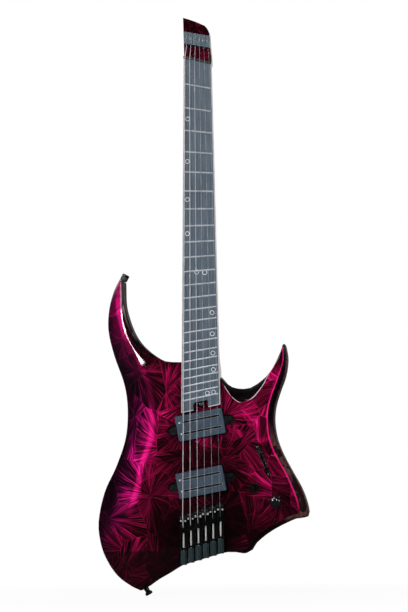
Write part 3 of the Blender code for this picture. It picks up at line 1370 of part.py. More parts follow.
def make_selector():
    here = (SELECTOR_PLACE[0], front(0), SELECTOR_PLACE[1])
    turn = (0, -SELECTOR_TILT, 0)
    top = FIT + SELECTOR_BEZEL_THICKNESS
    slot_half = selector_slot_half(top) + RUNNING_GAP
    width = SELECTOR_SLOT_WIDTH / 2
    outline = [(z, x) for x, z in stadium(SELECTOR_SCREW_SPACING, SELECTOR_BEZEL_WIDTH / 2, 6)]
    bezel = place("selector_bezel", prism(outline, FIT, top), "black_metal", here, turn)
    hole = box(-width, width, -0.001, top + 0.001, -slot_half, slot_half)
    apply_boolean(bezel, cutter("bezel_slot", hole, here, turn))
    screw = turned((
        (SELECTOR_SCREW_RADIUS, top - SELECTOR_SCREW_LENGTH),
        (SELECTOR_SCREW_RADIUS, top - SELECTOR_BEZEL_THICKNESS / 2),
        (SELECTOR_SCREW_HEAD, top - SELECTOR_BEZEL_THICKNESS / 2),
        (SELECTOR_SCREW_HEAD, top + SELECTOR_SCREW_DOME / 2),
        (SELECTOR_SCREW_HEAD * 0.6, top + SELECTOR_SCREW_DOME)), 12)
    screws = [moved(screw, (0, 0, z)) for z in selector_screw_offsets()]
    apply_boolean(bezel, cutter("bezel_screws", merge(screws), here, turn), "UNION")
    ceiling = -TOP_OVER_CAVITY - FIT
    low = -SELECTOR_PIVOT_DEPTH - 0.0045
    half = SELECTOR_HOUSING_WIDTH / 2
    length = SELECTOR_SCREW_SPACING / 2 + SELECTOR_SCREW_HEAD
    housing = place("selector_switch", box(-half, half, low, ceiling, -length, length),
                    "black_plastic", here, turn)
    inside = slot_half + RUNNING_GAP
    cuts = [box(-width - FIT, width + FIT, low + 0.0012, ceiling + 0.001, -inside, inside)]
    for z in selector_screw_offsets():
        cuts.append(moved(bore(SELECTOR_SCREW_RADIUS + FIT, -SELECTOR_SCREW_LENGTH - 0.001,
                               ceiling + 0.001), (0, 0, z)))
    apply_boolean(housing, cutter("housing_slots", merge(cuts), here, turn))
    pin_bore = loft([[(x, (SELECTOR_PIN_RADIUS + FIT) * math.cos(2 * math.pi * k / 12),
                       (SELECTOR_PIN_RADIUS + FIT) * math.sin(2 * math.pi * k / 12))
                      for k in range(12)] for x in (-half - 0.001, half + 0.001)])
    pivot = tuple(selector_point(0, -SELECTOR_PIVOT_DEPTH))
    apply_boolean(housing, cutter("pivot_bore", pin_bore, pivot, turn))
    make_selector_lever(pivot, half)


def make_selector_lever(pivot, half):
    """Flat lever with a cross pin and a rounded tip, leaning to the bridge end."""
    thick = SELECTOR_LEVER_THICKNESS / 2
    reach = SELECTOR_LEVER_WIDTH / 2
    top = SELECTOR_PIVOT_DEPTH + SELECTOR_TIP_LENGTH
    blade = box(-thick, thick, -2 * SELECTOR_PIN_RADIUS, top, -reach, reach)
    turn_lean = Matrix.Rotation(SELECTOR_LEAN, 4, "X")
    turn_tilt = Matrix.Rotation(-SELECTOR_TILT, 4, "Y")
    rotation = (turn_tilt @ turn_lean).to_euler()
    lever = place("selector_lever", blade, "black_plastic", pivot, rotation)
    pin = loft([[(x, SELECTOR_PIN_RADIUS * math.cos(2 * math.pi * k / 12),
                  SELECTOR_PIN_RADIUS * math.sin(2 * math.pi * k / 12))
                 for k in range(12)] for x in (-half, half)])
    apply_boolean(lever, cutter("lever_pin", pin, pivot, rotation), "UNION")
    wide = SELECTOR_TIP_WIDTH / 2
    deep = wide * SELECTOR_TIP_STRETCH
    clear = SELECTOR_PIVOT_DEPTH + FIT + SELECTOR_BEZEL_THICKNESS + RUNNING_GAP
    tip_low = (clear + deep * math.sin(SELECTOR_LEAN)) / math.cos(SELECTOR_LEAN)
    tip_high = tip_low + SELECTOR_TIP_LENGTH
    rings = []
    for share, h in ((0.80, tip_low), (1.0, tip_low + 0.002), (0.9, tip_high - 0.002), (0.6, tip_high)):
        outline = stadium(0.0, wide * share, 6)
        rings.append([(x, -h, z * SELECTOR_TIP_STRETCH) for x, z in outline[:7] + outline[8:-1]])
    tip = loft(rings, 40)
    apply_boolean(lever, cutter("lever_tip", tip, pivot, rotation), "UNION")


def make_output_jack():
    """Barrel jack with a flange; its bore opens at the lower edge."""
    face = JACK_FACE_Z - FIT
    profile = (
        (JACK_BARREL_RADIUS, face + JACK_LENGTH),
        (JACK_BARREL_RADIUS, face),
        (JACK_FLANGE_RADIUS, face),
        (JACK_FLANGE_RADIUS, face - JACK_FLANGE),
        (JACK_BORE_RADIUS, face - JACK_FLANGE),
        (JACK_BORE_RADIUS, face - JACK_FLANGE + JACK_BORE_DEPTH),
    )
    place("output_jack", turned(profile, 24, axis="z"), "black_metal", (JACK_X, -JACK_DEPTH, 0))


def cover_screw_points():
    """Just outside the cavity's corners, where its rounding leaves the most wood."""
    outer = offset_outline(CAVITY_CORNERS, COVER_LIP)
    result = []
    for k in COVER_SCREW_CORNERS:
        corner = Vector(CAVITY_CORNERS[k])
        outward = (Vector(outer[k]) - corner).normalized()
        result.append(tuple(corner + outward * COVER_SCREW_OUT))
    return result


def make_control_cover():
    """Cover over the control cavity, with its screws' heads sunk in counterbores."""
    outline = round_corners(offset_outline(CAVITY_CORNERS, COVER_LIP - FIT), CAVITY_CORNER_RADIUS)
    cover = place("control_cover", prism(outline, FIT, FIT + COVER_THICKNESS), "black_plastic")
    middle = FIT + COVER_THICKNESS / 2
    sinks = []
    screws = []
    for x, z in cover_screw_points():
        sinks.append(moved(turned(((COVER_SCREW_HEAD + FIT, -0.001),
                                   (COVER_SCREW_HEAD + FIT, middle)), 8), (x, 0, z)))
        screws.append(moved(turned((
            (COVER_SCREW_HEAD, 2 * FIT),
            (COVER_SCREW_HEAD, middle + FIT),
            (COVER_SCREW_RADIUS, middle + FIT),
            (COVER_SCREW_RADIUS, COVER_SCREW_LENGTH)), 8), (x, 0, z)))
    apply_boolean(cover, cutter("cover_sinks", merge(sinks)))
    apply_boolean(cover, cutter("cover_screws", merge(screws)), "UNION")


def neck_bolt_points():
    points = []
    for row in NECK_BOLT_ROWS:
        z = TENON_END_Z + row
        for side in (-1, 1):
            points.append((side * NECK_BOLT_SPREAD / 2, z))
    return points


# Strap buttons

def strap_seats():
    """Centre of each flat tip of the body and the turn that takes +z to its outward normal."""
    seats = []
    for a, b in ((HORNS_AND_HEEL[-1], BASS_SIDE[0]), (BASS_SIDE[-1], LOWER_EDGE[0])):
        start = Vector((a[0], a[1]))
        end = Vector((b[0], b[1]))
        along = (end - start).normalized()
        outward = Vector((along.y, -along.x))
        if outward.y * start.y < 0:
            outward = -outward
        middle = (start + end) / 2
        drop = (a[4] + b[4]) / 2
        depth = (a[5] + b[5]) / 2 * BACK_ROUNDING_SLOPE
        wall_front = BODY_THICKNESS - drop
        y = -(depth + (wall_front - depth) * BUTTON_FRONT_SHARE)
        angle = math.atan2(outward.x, outward.y)
        seats.append(((middle.x, y, middle.y), Matrix.Rotation(angle, 4, "Y")))
    return seats


def make_strap_buttons():
    """Waisted buttons; each one's countersunk screw reaches into the body's end grain."""
    cap_low = BUTTON_HEIGHT - BUTTON_CAP
    sink = BUTTON_HEIGHT - BUTTON_SINK
    profile = (
        (BUTTON_SCREW_RADIUS, -BUTTON_SCREW_DEPTH),
        (BUTTON_SCREW_RADIUS, FIT),
        (BUTTON_BASE_RADIUS, FIT),
        (BUTTON_BASE_RADIUS, 0.0014),
        (BUTTON_WAIST_RADIUS, 0.0040),
        (BUTTON_WAIST_RADIUS, cap_low - 0.0016),
        (BUTTON_CAP_RADIUS, cap_low),
        (BUTTON_CAP_RADIUS, BUTTON_HEIGHT - 0.0010),
        (BUTTON_CAP_RADIUS - 0.0010, BUTTON_HEIGHT),
        (BUTTON_SCREW_HEAD + FIT, BUTTON_HEIGHT),
        (BUTTON_SCREW_HEAD, sink),
    )
    button = turned(profile, 16, axis="z")
    for name, (centre, turn) in zip(("strap_button_horn", "strap_button_tail"), strap_seats()):
        place(name, moved(button, centre, turn), "slate_metal")


def main():
    clear_scene()
    make_materials()
    make_body()
    make_neck()
    make_board()
    make_nut()
    make_truss_rod()
    make_headpiece()
    make_strings()
    make_bridge_units()
    make_pickups()
    make_volume()
    make_toggle()
    make_selector()
    make_output_jack()
    make_control_cover()
    make_strap_buttons()


main()
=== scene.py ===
"""Looks of the headless electric guitar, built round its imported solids.

Metres. +Z runs up the neck, -Y is the front of the guitar and +X its treble side.
"""

import json
import math
import random

import bmesh
import bpy
import numpy as np
from mathutils import Matrix, Vector

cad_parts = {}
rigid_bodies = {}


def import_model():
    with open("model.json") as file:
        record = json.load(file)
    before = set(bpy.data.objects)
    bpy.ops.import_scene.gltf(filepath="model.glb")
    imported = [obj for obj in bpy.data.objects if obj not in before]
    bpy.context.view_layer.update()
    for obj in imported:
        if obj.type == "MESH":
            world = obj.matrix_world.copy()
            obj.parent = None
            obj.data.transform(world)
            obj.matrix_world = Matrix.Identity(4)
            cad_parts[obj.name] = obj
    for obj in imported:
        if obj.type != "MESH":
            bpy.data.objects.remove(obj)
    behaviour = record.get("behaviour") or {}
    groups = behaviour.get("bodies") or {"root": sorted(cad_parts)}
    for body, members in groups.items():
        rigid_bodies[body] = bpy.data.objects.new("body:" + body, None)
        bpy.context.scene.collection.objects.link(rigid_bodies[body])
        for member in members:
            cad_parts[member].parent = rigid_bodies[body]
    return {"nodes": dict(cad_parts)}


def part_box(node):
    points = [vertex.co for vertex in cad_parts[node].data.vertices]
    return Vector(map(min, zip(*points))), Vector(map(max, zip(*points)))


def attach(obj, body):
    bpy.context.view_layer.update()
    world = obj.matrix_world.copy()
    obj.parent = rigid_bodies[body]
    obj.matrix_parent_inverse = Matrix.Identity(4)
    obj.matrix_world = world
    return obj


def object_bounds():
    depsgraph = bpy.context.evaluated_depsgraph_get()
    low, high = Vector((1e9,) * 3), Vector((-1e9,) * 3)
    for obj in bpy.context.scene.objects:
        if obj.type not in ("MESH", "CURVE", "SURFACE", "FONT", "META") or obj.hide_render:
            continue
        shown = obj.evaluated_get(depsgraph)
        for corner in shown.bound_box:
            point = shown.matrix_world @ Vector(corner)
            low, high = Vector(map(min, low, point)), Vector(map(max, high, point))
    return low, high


# Sizes taken from the solids. The last one is how deep the ear screws' tops lie in the body.
BODY_TOP_Y = -0.042
BOARD_TOP_HEIGHT = 0.0093
BOARD_RADIUS = 0.508
KNOB_LENGTH = 0.0212
SADDLE_SCREW_DROP = 0.0090
SADDLE_SCREW_SIDE = 0.0032
EAR_REACH = 0.0430
EAR_SCREW_SINK = 0.00275

# Above this height the neck's front wears the head's lacquer.
HEAD_LACQUER_Z = 0.585
# Points round the larger rings of the small pieces.
RING_POINTS = 28

FLOOR_GAP = 0.0005


# Node building

class Shader:
    """One principled material and short ways to add nodes to it."""

    def __init__(self, name, **values):
        self.material = bpy.data.materials.new(name)
        self.material.use_nodes = True
        self.tree = self.material.node_tree
        self.principled = self.tree.nodes["Principled BSDF"]
        self.set(**values)

    def set(self, **values):
        for key, value in values.items():
            self.feed(self.principled.inputs[key.replace("_", " ")], value)

    def feed(self, socket, value):
        if isinstance(value, bpy.types.NodeSocket):
            self.tree.links.new(value, socket)
        elif value is not None:
            if socket.type == "RGBA" and len(value) == 3:
                value = (*value, 1.0)
            socket.default_value = value

    def add(self, kind, inputs=(), **settings):
        node = self.tree.nodes.new("ShaderNode" + kind)
        for key, value in settings.items():
            setattr(node, key, value)
        for key, value in dict(inputs).items():
            self.feed(node.inputs[key], value)
        return node

    def math(self, operation, a, b=None, c=None, clamp=False):
        node = self.add("Math", operation=operation, use_clamp=clamp)
        for k, value in enumerate((a, b, c)):
            self.feed(node.inputs[k], value)
        return node.outputs[0]

    def vector(self, operation, a, b=None, scale=None):
        node = self.add("VectorMath", operation=operation)
        self.feed(node.inputs[0], a)
        self.feed(node.inputs[1], b)
        if scale is not None:
            self.feed(node.inputs["Scale"], scale)
        single = operation in ("LENGTH", "DISTANCE", "DOT_PRODUCT")
        return node.outputs["Value" if single else "Vector"]

    def place(self):
        return self.add("TexCoord").outputs["Object"]

    def parts(self, vector):
        return self.add("SeparateXYZ", {"Vector": vector}).outputs

    def join(self, x, y, z=0.0):
        return self.add("CombineXYZ", {"X": x, "Y": y, "Z": z}).outputs[0]

    def stretch(self, vector, x, y, z):
        return self.vector("MULTIPLY", vector, (x, y, z))

    def noise(self, vector, scale, detail=2.0, roughness=0.5):
        return self.add("TexNoise", {"Vector": vector, "Scale": scale, "Detail": detail,
                                     "Roughness": roughness}).outputs["Fac"]

    def span(self, value, low, high, to_low=0.0, to_high=1.0, smooth=True):
        node = self.add("MapRange", {"Value": value, "From Min": low, "From Max": high,
                                     "To Min": to_low, "To Max": to_high},
                        interpolation_type="SMOOTHSTEP" if smooth else "LINEAR")
        return node.outputs["Result"]

    def ramp(self, value, stops):
        node = self.add("ValToRGB", {"Fac": value})
        band = node.color_ramp.elements
        while len(band) < len(stops):
            band.new(0.5)
        for element, (place, colour) in zip(band, stops):
            element.position = place
            element.color = (*colour, 1.0)
        return node.outputs["Color"]

    def mix(self, factor, a, b):
        node = self.add("Mix", data_type="RGBA")
        self.feed(node.inputs[0], factor)
        self.feed(node.inputs[6], a)
        self.feed(node.inputs[7], b)
        return node.outputs[2]

    def bump(self, height, distance, strength=1.0):
        node = self.add("Bump", {"Height": height, "Distance": distance, "Strength": strength})
        self.feed(self.principled.inputs["Normal"], node.outputs["Normal"])


# Materials

# Stars of the crystal finish stand in loose rows: height z, first x, and how many.
STAR_ROWS = (
    (-0.145, -0.140, 2), (-0.102, -0.118, 5), (-0.058, -0.146, 6), (-0.014, -0.106, 5),
    (0.030, -0.092, 4), (0.074, -0.112, 5), (0.118, -0.080, 4), (0.150, 0.106, 1),
    (0.166, -0.112, 1), (0.214, -0.124, 1), (0.262, -0.119, 1),
)
STAR_STEP = 0.052
STAR_JITTER = 0.019
STAR_SEED = 11
# Facets round a star: how many, and the limits of a facet's reach, turn and tone.
FACET_COUNTS = (1, 2, 2, 3)
FACET_REACH = (0.014, 0.042)
FACET_TURN = (1.2, 2.4)
FACET_TONES = (0.50, 0.95)


def crystal_fans():
    """Middle of each facet x, z, the star x, z where its needles meet, and its tone."""
    draw = random.Random(STAR_SEED)
    fans = []
    for z, first, count in STAR_ROWS:
        for i in range(count):
            star_x = first + i * STAR_STEP + draw.uniform(-STAR_JITTER, STAR_JITTER)
            star_z = z + draw.uniform(-STAR_JITTER, STAR_JITTER)
            angle = draw.uniform(0.0, 2 * math.pi)
            for _ in range(draw.choice(FACET_COUNTS)):
                reach = draw.uniform(*FACET_REACH)
                fans.append((star_x + reach * math.cos(angle), star_z + reach * math.sin(angle),
                             star_x, star_z, draw.uniform(*FACET_TONES)))
                angle += draw.uniform(*FACET_TURN)
    return fans


# Shift that keeps the fans' coordinates positive, as a colour socket needs.
FAN_SHIFT = 0.4


def fan_field(shader, plane):
    """Needles that run to each facet's meeting point, with lit borders between facets."""
    plane = shader.vector("ADD", plane, (FAN_SHIFT, FAN_SHIFT, 0))
    chosen = reach = second = None
    for x, z, focus_x, focus_z, tone in crystal_fans():
        distance = shader.vector("DISTANCE", plane, (x + FAN_SHIFT, z + FAN_SHIFT, 0))
        focus = (focus_x + FAN_SHIFT, focus_z + FAN_SHIFT, tone)
        if chosen is None:
            chosen, reach, second = focus, distance, 1.0
            continue
        nearer = shader.math("LESS_THAN", distance, reach)
        chosen = shader.mix(nearer, chosen, focus)
        second = shader.math("MINIMUM", second, shader.math("MAXIMUM", distance, reach))
        reach = shader.math("MINIMUM", reach, distance)
    tone = shader.parts(chosen)[2]
    arm = shader.stretch(shader.vector("SUBTRACT", plane, chosen), 1, 1, 0)
    lines = needle_lines(shader, arm, shader.vector("LENGTH", arm), tone)
    border = shader.span(shader.math("SUBTRACT", second, reach), 0.0016, 0.0, 0.0, 0.30)
    tone = shader.span(tone, 0.45, 0.92, 0.30, 1.0, smooth=False)
    return shader.math("MULTIPLY", tone, shader.math("ADD", lines, border))


def needle_lines(shader, arm, reach, seed, wedges=4.0, needles=15.0):
    """Broad wedges and thin straight needles that run to a point."""
    ray = shader.vector("NORMALIZE", arm)

    def turned(count, along):
        depth = shader.math("MULTIPLY_ADD", reach, along, shader.math("MULTIPLY", seed, 57.0))
        across = shader.vector("SCALE", ray, scale=count)
        return shader.vector("ADD", across, shader.join(0.0, 0.0, depth))
    wedge = shader.span(shader.noise(turned(wedges, 14.0), 1.0, 2.0), 0.38, 0.62)
    thin = shader.noise(turned(needles, 16.0), 1.0, 1.0, 0.5)
    line = shader.span(shader.math("ABSOLUTE", shader.math("SUBTRACT", thin, 0.5)),
                       0.060, 0.0)
    gap = shader.span(thin, 0.36, 0.46)
    body = shader.math("MULTIPLY", shader.span(wedge, 0.0, 1.0, 0.10, 0.34), gap)
    glint = shader.math("MULTIPLY", line, shader.span(wedge, 0.0, 1.0, 0.30, 0.66))
    return shader.math("ADD", shader.math("ADD", body, glint), 0.05)


def scattered_fans(shader, plane, scale, shift, least=0.0):
    """The same needles round scattered points, down to the least share in the dim cells."""
    spot = shader.vector("ADD", shader.vector("SCALE", plane, scale=scale), shift)
    cells = shader.add("TexVoronoi", {"Vector": spot, "Scale": 1.0}, voronoi_dimensions="2D")
    lean = shader.vector("SCALE", shader.vector("SUBTRACT", cells.outputs["Color"],
                                                (0.5, 0.5, 0.5)), scale=1.6)
    focus = shader.vector("ADD", cells.outputs["Position"], lean)
    arm = shader.stretch(shader.vector("SUBTRACT", spot, focus), 1, 1, 0)
    reach = shader.math("DIVIDE", shader.vector("LENGTH", arm), scale)
    chance = shader.parts(cells.outputs["Color"])[0]
    lines = needle_lines(shader, arm, reach, chance, 3.0, 9.0)
    return shader.math("MULTIPLY", lines, shader.span(chance, 0.45, 0.75, least))


def glow(shader, place, centre, radius, amount):
    """Soft round patch on the front, used for painted light and for painted shade."""
    offset = shader.vector("SUBTRACT", place, centre)
    distance = shader.vector("LENGTH", shader.stretch(offset, 1, 0, 1))
    return shader.span(distance, radius, 0.0, 0.0, amount)


# Crest lines of the body: z, x.
LEFT_CREST = ((-0.110, -0.1370), (-0.096, -0.1300), (-0.070, -0.1120), (-0.032, -0.0975),
              (0.007, -0.0885), (0.048, -0.0750), (0.089, -0.0728), (0.126, -0.0790),
              (0.167, -0.0960), (0.204, -0.1133), (0.237, -0.1190), (0.262, -0.1205),
              (0.280, -0.1200))
RIGHT_CREST = ((-0.063, 0.1400), (-0.046, 0.1375), (-0.027, 0.1305), (-0.004, 0.1205),
               (0.019, 0.1075), (0.0425, 0.0988), (0.067, 0.0960), (0.089, 0.0976),
               (0.112, 0.1048), (0.1348, 0.1138), (0.157, 0.1205), (0.176, 0.1203))
# Upper edge of the flat front at the treble cutaway: x, z.
CUTAWAY_EDGE = ((0.0278, 0.1324), (0.0346, 0.1195), (0.0424, 0.1079), (0.0503, 0.0997),
                (0.0572, 0.0966), (0.0651, 0.0983), (0.0741, 0.1026), (0.0821, 0.1107),
                (0.0901, 0.1214), (0.0982, 0.1360), (0.1063, 0.1486), (0.1143, 0.1613),
                (0.1215, 0.1759))
CREST_SPAN = ((-0.20, 0.30), (-0.20, 0.20))


def crest_distance(shader, x, z, crest):
    """Signed distance across the body from a crest line, as x minus the line's x at this z."""
    (low_z, high_z), (low_x, high_x) = CREST_SPAN
    node = shader.add("FloatCurve", {"Value": shader.span(z, low_z, high_z, smooth=False)})
    curve = node.mapping.curves[0]
    scaled = [((z_at - low_z) / (high_z - low_z), (x_at - low_x) / (high_x - low_x))
              for z_at, x_at in crest]
    curve.points[0].location = (0.0, scaled[0][1])
    curve.points[1].location = (1.0, scaled[-1][1])
    for point in scaled:
        curve.points.new(*point)
    node.mapping.update()
    line = shader.math("MULTIPLY_ADD", node.outputs[0], high_x - low_x, low_x)
    return shader.math("SUBTRACT", x, line)


def crystal_lacquer(name, on_body):
    """Dyed crystal pattern under a deep clear coat, with painted shade that darkens it at the
    borders and painted light and highlights mixed into its colour.
    """
    shader = Shader(name, Metallic=0.35, Roughness=0.42, Coat_Weight=1.0,
                    Coat_Roughness=0.02, Coat_IOR=1.5, Specular_IOR_Level=0.0)
    place = shader.place()
    x, y, z = shader.parts(place)[:3]
    plane = shader.join(shader.math("MULTIPLY_ADD", y, 0.5, x),
                        shader.math("MULTIPLY_ADD", y, -0.3, z))
    wobble = shader.vector("SUBTRACT", shader.add("TexNoise", {
        "Vector": plane, "Scale": 28.0, "Detail": 2.0}).outputs["Color"], (0.5, 0.5, 0.5))
    wobble = shader.stretch(shader.vector("SCALE", wobble, scale=0.005), 1, 1, 0)
    plane = shader.vector("ADD", plane, wobble)
    small = scattered_fans(shader, plane, 27.0, (11.3, 2.4, 0))
    if on_body:
        large = fan_field(shader, plane)
    else:
        large = scattered_fans(shader, plane, 120.0, (4.1, 7.3, 0), 0.6)
    fans = shader.math("MAXIMUM", large, shader.math("MULTIPLY", small, 0.45))
    violet = lit = 0.0
    if on_body:
        light, lit, violet = body_light(shader, place, x, z, fans)
    else:
        # Painted light: the head's lacquer is brighter below the headpiece, towards the nut.
        light = shader.span(z, 0.640, 0.622, 0.24, 0.48)
    # The crystal pattern in painted light and shade, plus the painted highlight lines on the body.
    shade = shader.math("MULTIPLY_ADD", fans, light, lit, clamp=True)
    red = shader.ramp(shade, (
        (0.0, (0.0015, 0.0003, 0.0005)),
        (0.10, (0.024, 0.0012, 0.004)),
        (0.35, (0.24, 0.003, 0.034)),
        (0.70, (0.74, 0.007, 0.130)),
        (1.0, (1.0, 0.012, 0.25)),
    ))
    cool = shader.ramp(shade, (
        (0.0, (0.0015, 0.0004, 0.0012)),
        (0.10, (0.020, 0.0012, 0.010)),
        (0.35, (0.19, 0.003, 0.068)),
        (0.70, (0.64, 0.008, 0.25)),
        (1.0, (0.95, 0.020, 0.34)),
    ))
    dye_and_painted_light = shader.mix(violet, red, cool)
    if on_body:
        # Painted shade past the treble cutaway's edge, and a pale painted highlight line along it.
        above, line = cutaway_edge(shader, x, z)
        dye_and_painted_light = shader.mix(above, dye_and_painted_light, (0.004, 0.002, 0.003))
        dye_and_painted_light = shader.mix(line, dye_and_painted_light, (0.85, 0.66, 0.74))
    shader.set(Base_Color=dye_and_painted_light)
    shader.bump(fans, 0.0001, 0.35)
    return shader.material


def cutaway_edge(shader, x, z):
    """Painted shade past the treble cutaway's edge, and a pale painted highlight line along it."""
    height = crest_distance(shader, z, x, CUTAWAY_EDGE)
    treble = shader.span(x, 0.016, 0.020)
    # Painted shade: near-black beyond the edge curve.
    above = shader.math("MULTIPLY", shader.span(height, 0.0, 0.0005), treble)
    # The painted highlight line, a little inside the edge.
    steep = shader.math("ABSOLUTE", shader.math("SUBTRACT", x, 0.0572))
    half_width = shader.span(steep, 0.004, 0.022, 0.0006, 0.0012)
    offset = shader.math("ABSOLUTE", shader.math("ADD", height, 0.0004))
    line = shader.math("SUBTRACT", 1.0, shader.math("DIVIDE", offset, half_width), clamp=True)
    strength = shader.math("MAXIMUM", shader.span(x, 0.060, 0.052),
                           shader.math("MULTIPLY", shader.span(x, 0.064, 0.076),
                                       shader.span(x, 0.116, 0.090, 0.25, 1.0)))
    line = shader.math("MULTIPLY", shader.span(line, 0.0, 0.6), strength)
    return above, shader.math("MULTIPLY", line, treble)


def body_light(shader, place, x, z, fans):
    """Painted light and shade from place to place, how violet the dye is, and the painted
    highlight lines along the crests.
    """
    # Painted light: a base level with soft bright patches.
    light = 0.34
    for centre, radius, amount in (
        ((-0.100, 0, 0.060), 0.090, 0.72),
        ((-0.090, 0, -0.015), 0.100, 0.50),
        ((-0.110, 0, -0.085), 0.070, 0.40),
        ((0.100, 0, -0.030), 0.070, 0.52),
        ((0.070, 0, 0.085), 0.095, 1.15),
        ((0.125, 0, 0.130), 0.070, 0.62),
        ((-0.060, 0, 0.135), 0.050, 0.75),
        ((-0.060, 0, 0.080), 0.045, 0.42),
        ((0.000, 0, 0.028), 0.035, 0.30),
        ((-0.140, 0, -0.050), 0.060, 0.40),
        ((-0.115, 0, -0.145), 0.065, 0.12),
        ((-0.122, 0, 0.160), 0.045, 0.45),
        ((0.115, 0, 0.010), 0.060, 0.62),
    ):
        light = shader.math("ADD", light, glow(shader, place, centre, radius, amount))
    # Painted shade: soft dark patches.
    for centre, radius, amount in (
        ((-0.038, 0, -0.085), 0.055, 0.85),
        ((0.030, 0, -0.105), 0.080, 0.84),
        ((0.050, 0, -0.030), 0.050, 0.35),
        ((0.000, 0, -0.010), 0.060, 0.40),
    ):
        dark = glow(shader, place, centre, radius, amount)
        light = shader.math("MULTIPLY", light, shader.math("SUBTRACT", 1.0, dark))
    # Painted shade on the lower facet, below z -0.117.
    light = shader.math("MULTIPLY", light, shader.span(z, -0.1180, -0.1160, 0.62, 1.0))
    left = crest_distance(shader, x, z, LEFT_CREST)
    right = crest_distance(shader, x, z, RIGHT_CREST)
    # Painted shade on the left bevel past the left crest, less on the horn.
    outer = shader.math("MAXIMUM", shader.span(left, -0.036, -0.004, 0.30, 1.0),
                        shader.span(z, 0.150, 0.185, 0.0, 0.60))
    light = shader.math("MULTIPLY", light, outer)
    front = shader.math("MULTIPLY", shader.parts(shader.add("TexCoord").outputs["Normal"])[1],
                        -1.0)
    front = shader.span(front, 0.2, 0.7)
    # Painted highlight band along the left crest.
    aside = shader.math("ADD", left, shader.span(z, 0.150, 0.230, 0.0, 0.0025))
    band = shader.span(shader.math("ABSOLUTE", aside), 0.0070, 0.0010)
    band = shader.math("MULTIPLY", band, shader.span(z, -0.070, -0.035))
    strength = shader.math("ADD", shader.span(z, 0.120, 0.020, 0.15, 0.55),
                           glow(shader, place, (-0.116, 0, 0.230), 0.06, 0.30))
    strength = shader.math("MULTIPLY", strength, shader.span(fans, 0.0, 0.6, 0.65, 1.25))
    band = shader.math("MULTIPLY", band, strength)
    # Painted highlight line along the right crest.
    rim_highlight = shader.span(shader.math("ABSOLUTE", right), 0.0024, 0.0003)
    rim_highlight = shader.math("MULTIPLY", rim_highlight, shader.span(z, -0.068, -0.040, 0.0, 0.72))
    lit = shader.math("MULTIPLY", front, shader.math("ADD", band, rim_highlight))
    # Painted sheen on the long horn's top, next to the left crest.
    horn_sheen = shader.math("MULTIPLY", shader.span(z, 0.150, 0.205),
                       shader.span(left, -0.024, -0.006, 0.05, 0.14))
    horn_sheen = shader.math("MULTIPLY", horn_sheen, shader.span(left, 0.004, 0.001))
    lit = shader.math("ADD", lit, horn_sheen)
    # Painted shade on the inner bevel of the long horn, right of the left crest.
    horn = shader.span(left, 0.002, 0.008, 1.0, 0.75)
    horn = shader.math("MAXIMUM", horn, shader.span(z, 0.165, 0.145))
    light = shader.math("MULTIPLY", light, horn)
    violet = shader.span(left, -0.030, 0.022, 0.95, 0.12)
    return light, lit, violet


def dark_wall(name, patches, dark=(0.0012, 0.0009, 0.0010), light=(0.007, 0.003, 0.004)):
    """Near-black side of the body, in places with blocky brown patches of painted reflection."""
    shader = Shader(name, Specular_IOR_Level=0.03)
    place = shader.place()
    x, y, z = shader.parts(place)[:3]
    grain = shader.noise(shader.stretch(place, 90, 90, 20), 3.0, 3.0)
    shader.set(Roughness=shader.span(grain, 0.3, 0.7, 0.42, 0.60))
    base = shader.ramp(grain, ((0.3, dark), (0.7, light)))
    # Painted reflection: blocky brown patches on the treble side.
    if patches:
        blocks = shader.add("TexVoronoi", {"Vector": shader.stretch(place, 1.2, 1.0, 0.7),
                                           "Scale": 95.0, "Smoothness": 0.35},
                            distance="CHEBYCHEV", feature="SMOOTH_F1")
        pick = shader.span(shader.parts(blocks.outputs["Color"])[0], 0.44, 0.62, 0.12, 1.0)
        where = shader.math("MULTIPLY", shader.span(z, -0.085, -0.060),
                            shader.span(z, 0.075, 0.030))
        where = shader.math("MULTIPLY", where, shader.span(x, 0.080, 0.095))
        brown_reflection = shader.ramp(shader.noise(shader.stretch(place, 200, 200, 60), 1.0, 3.0),
                           ((0.3, (0.060, 0.022, 0.021)), (0.7, (0.165, 0.078, 0.062))))
        base = shader.mix(shader.math("MULTIPLY", pick, where), base, brown_reflection)
    shader.set(Base_Color=base)
    shader.bump(grain, 0.00003)
    return shader.material


def streaked(name, dark, light, roughness, along, metallic=0.0, bump=0.00004, coat=0.0,
             coat_roughness=0.05, specular=0.5):
    """Material with fine streaks along one axis, in colour, roughness and bump."""
    shader = Shader(name, Metallic=metallic, Coat_Weight=coat, Coat_Roughness=coat_roughness,
                    Specular_IOR_Level=specular)
    place = shader.stretch(shader.place(), *along)
    coarse = shader.noise(place, 8.0, 3.0, 0.6)
    fine = shader.noise(place, 45.0, 2.0, 0.6)
    both = shader.math("MULTIPLY_ADD", fine, 0.4, shader.math("MULTIPLY", coarse, 0.6))
    shader.set(Base_Color=shader.ramp(both, ((0.35, dark), (0.65, light))),
               Roughness=shader.span(both, 0.3, 0.7, roughness * 0.85, roughness * 1.15))
    shader.bump(both, bump)
    return shader.material


def grained(name, dark, light, roughness, scale=900.0, metallic=0.0, bump=0.00002, coat=0.0,
            specular=0.5):
    """Moulded or anodised surface with a fine even grain and faint wear."""
    shader = Shader(name, Metallic=metallic, Coat_Weight=coat, Coat_Roughness=0.03,
                    Specular_IOR_Level=specular)
    place = shader.place()
    fine = shader.noise(place, scale, 3.0, 0.6)
    cloud = shader.noise(place, 60.0, 3.0, 0.6)
    shader.set(Base_Color=shader.ramp(cloud, ((0.3, dark), (0.7, light))),
               Roughness=shader.span(cloud, 0.3, 0.7, roughness * 0.8, roughness * 1.2))
    shader.bump(fine, bump)
    return shader.material


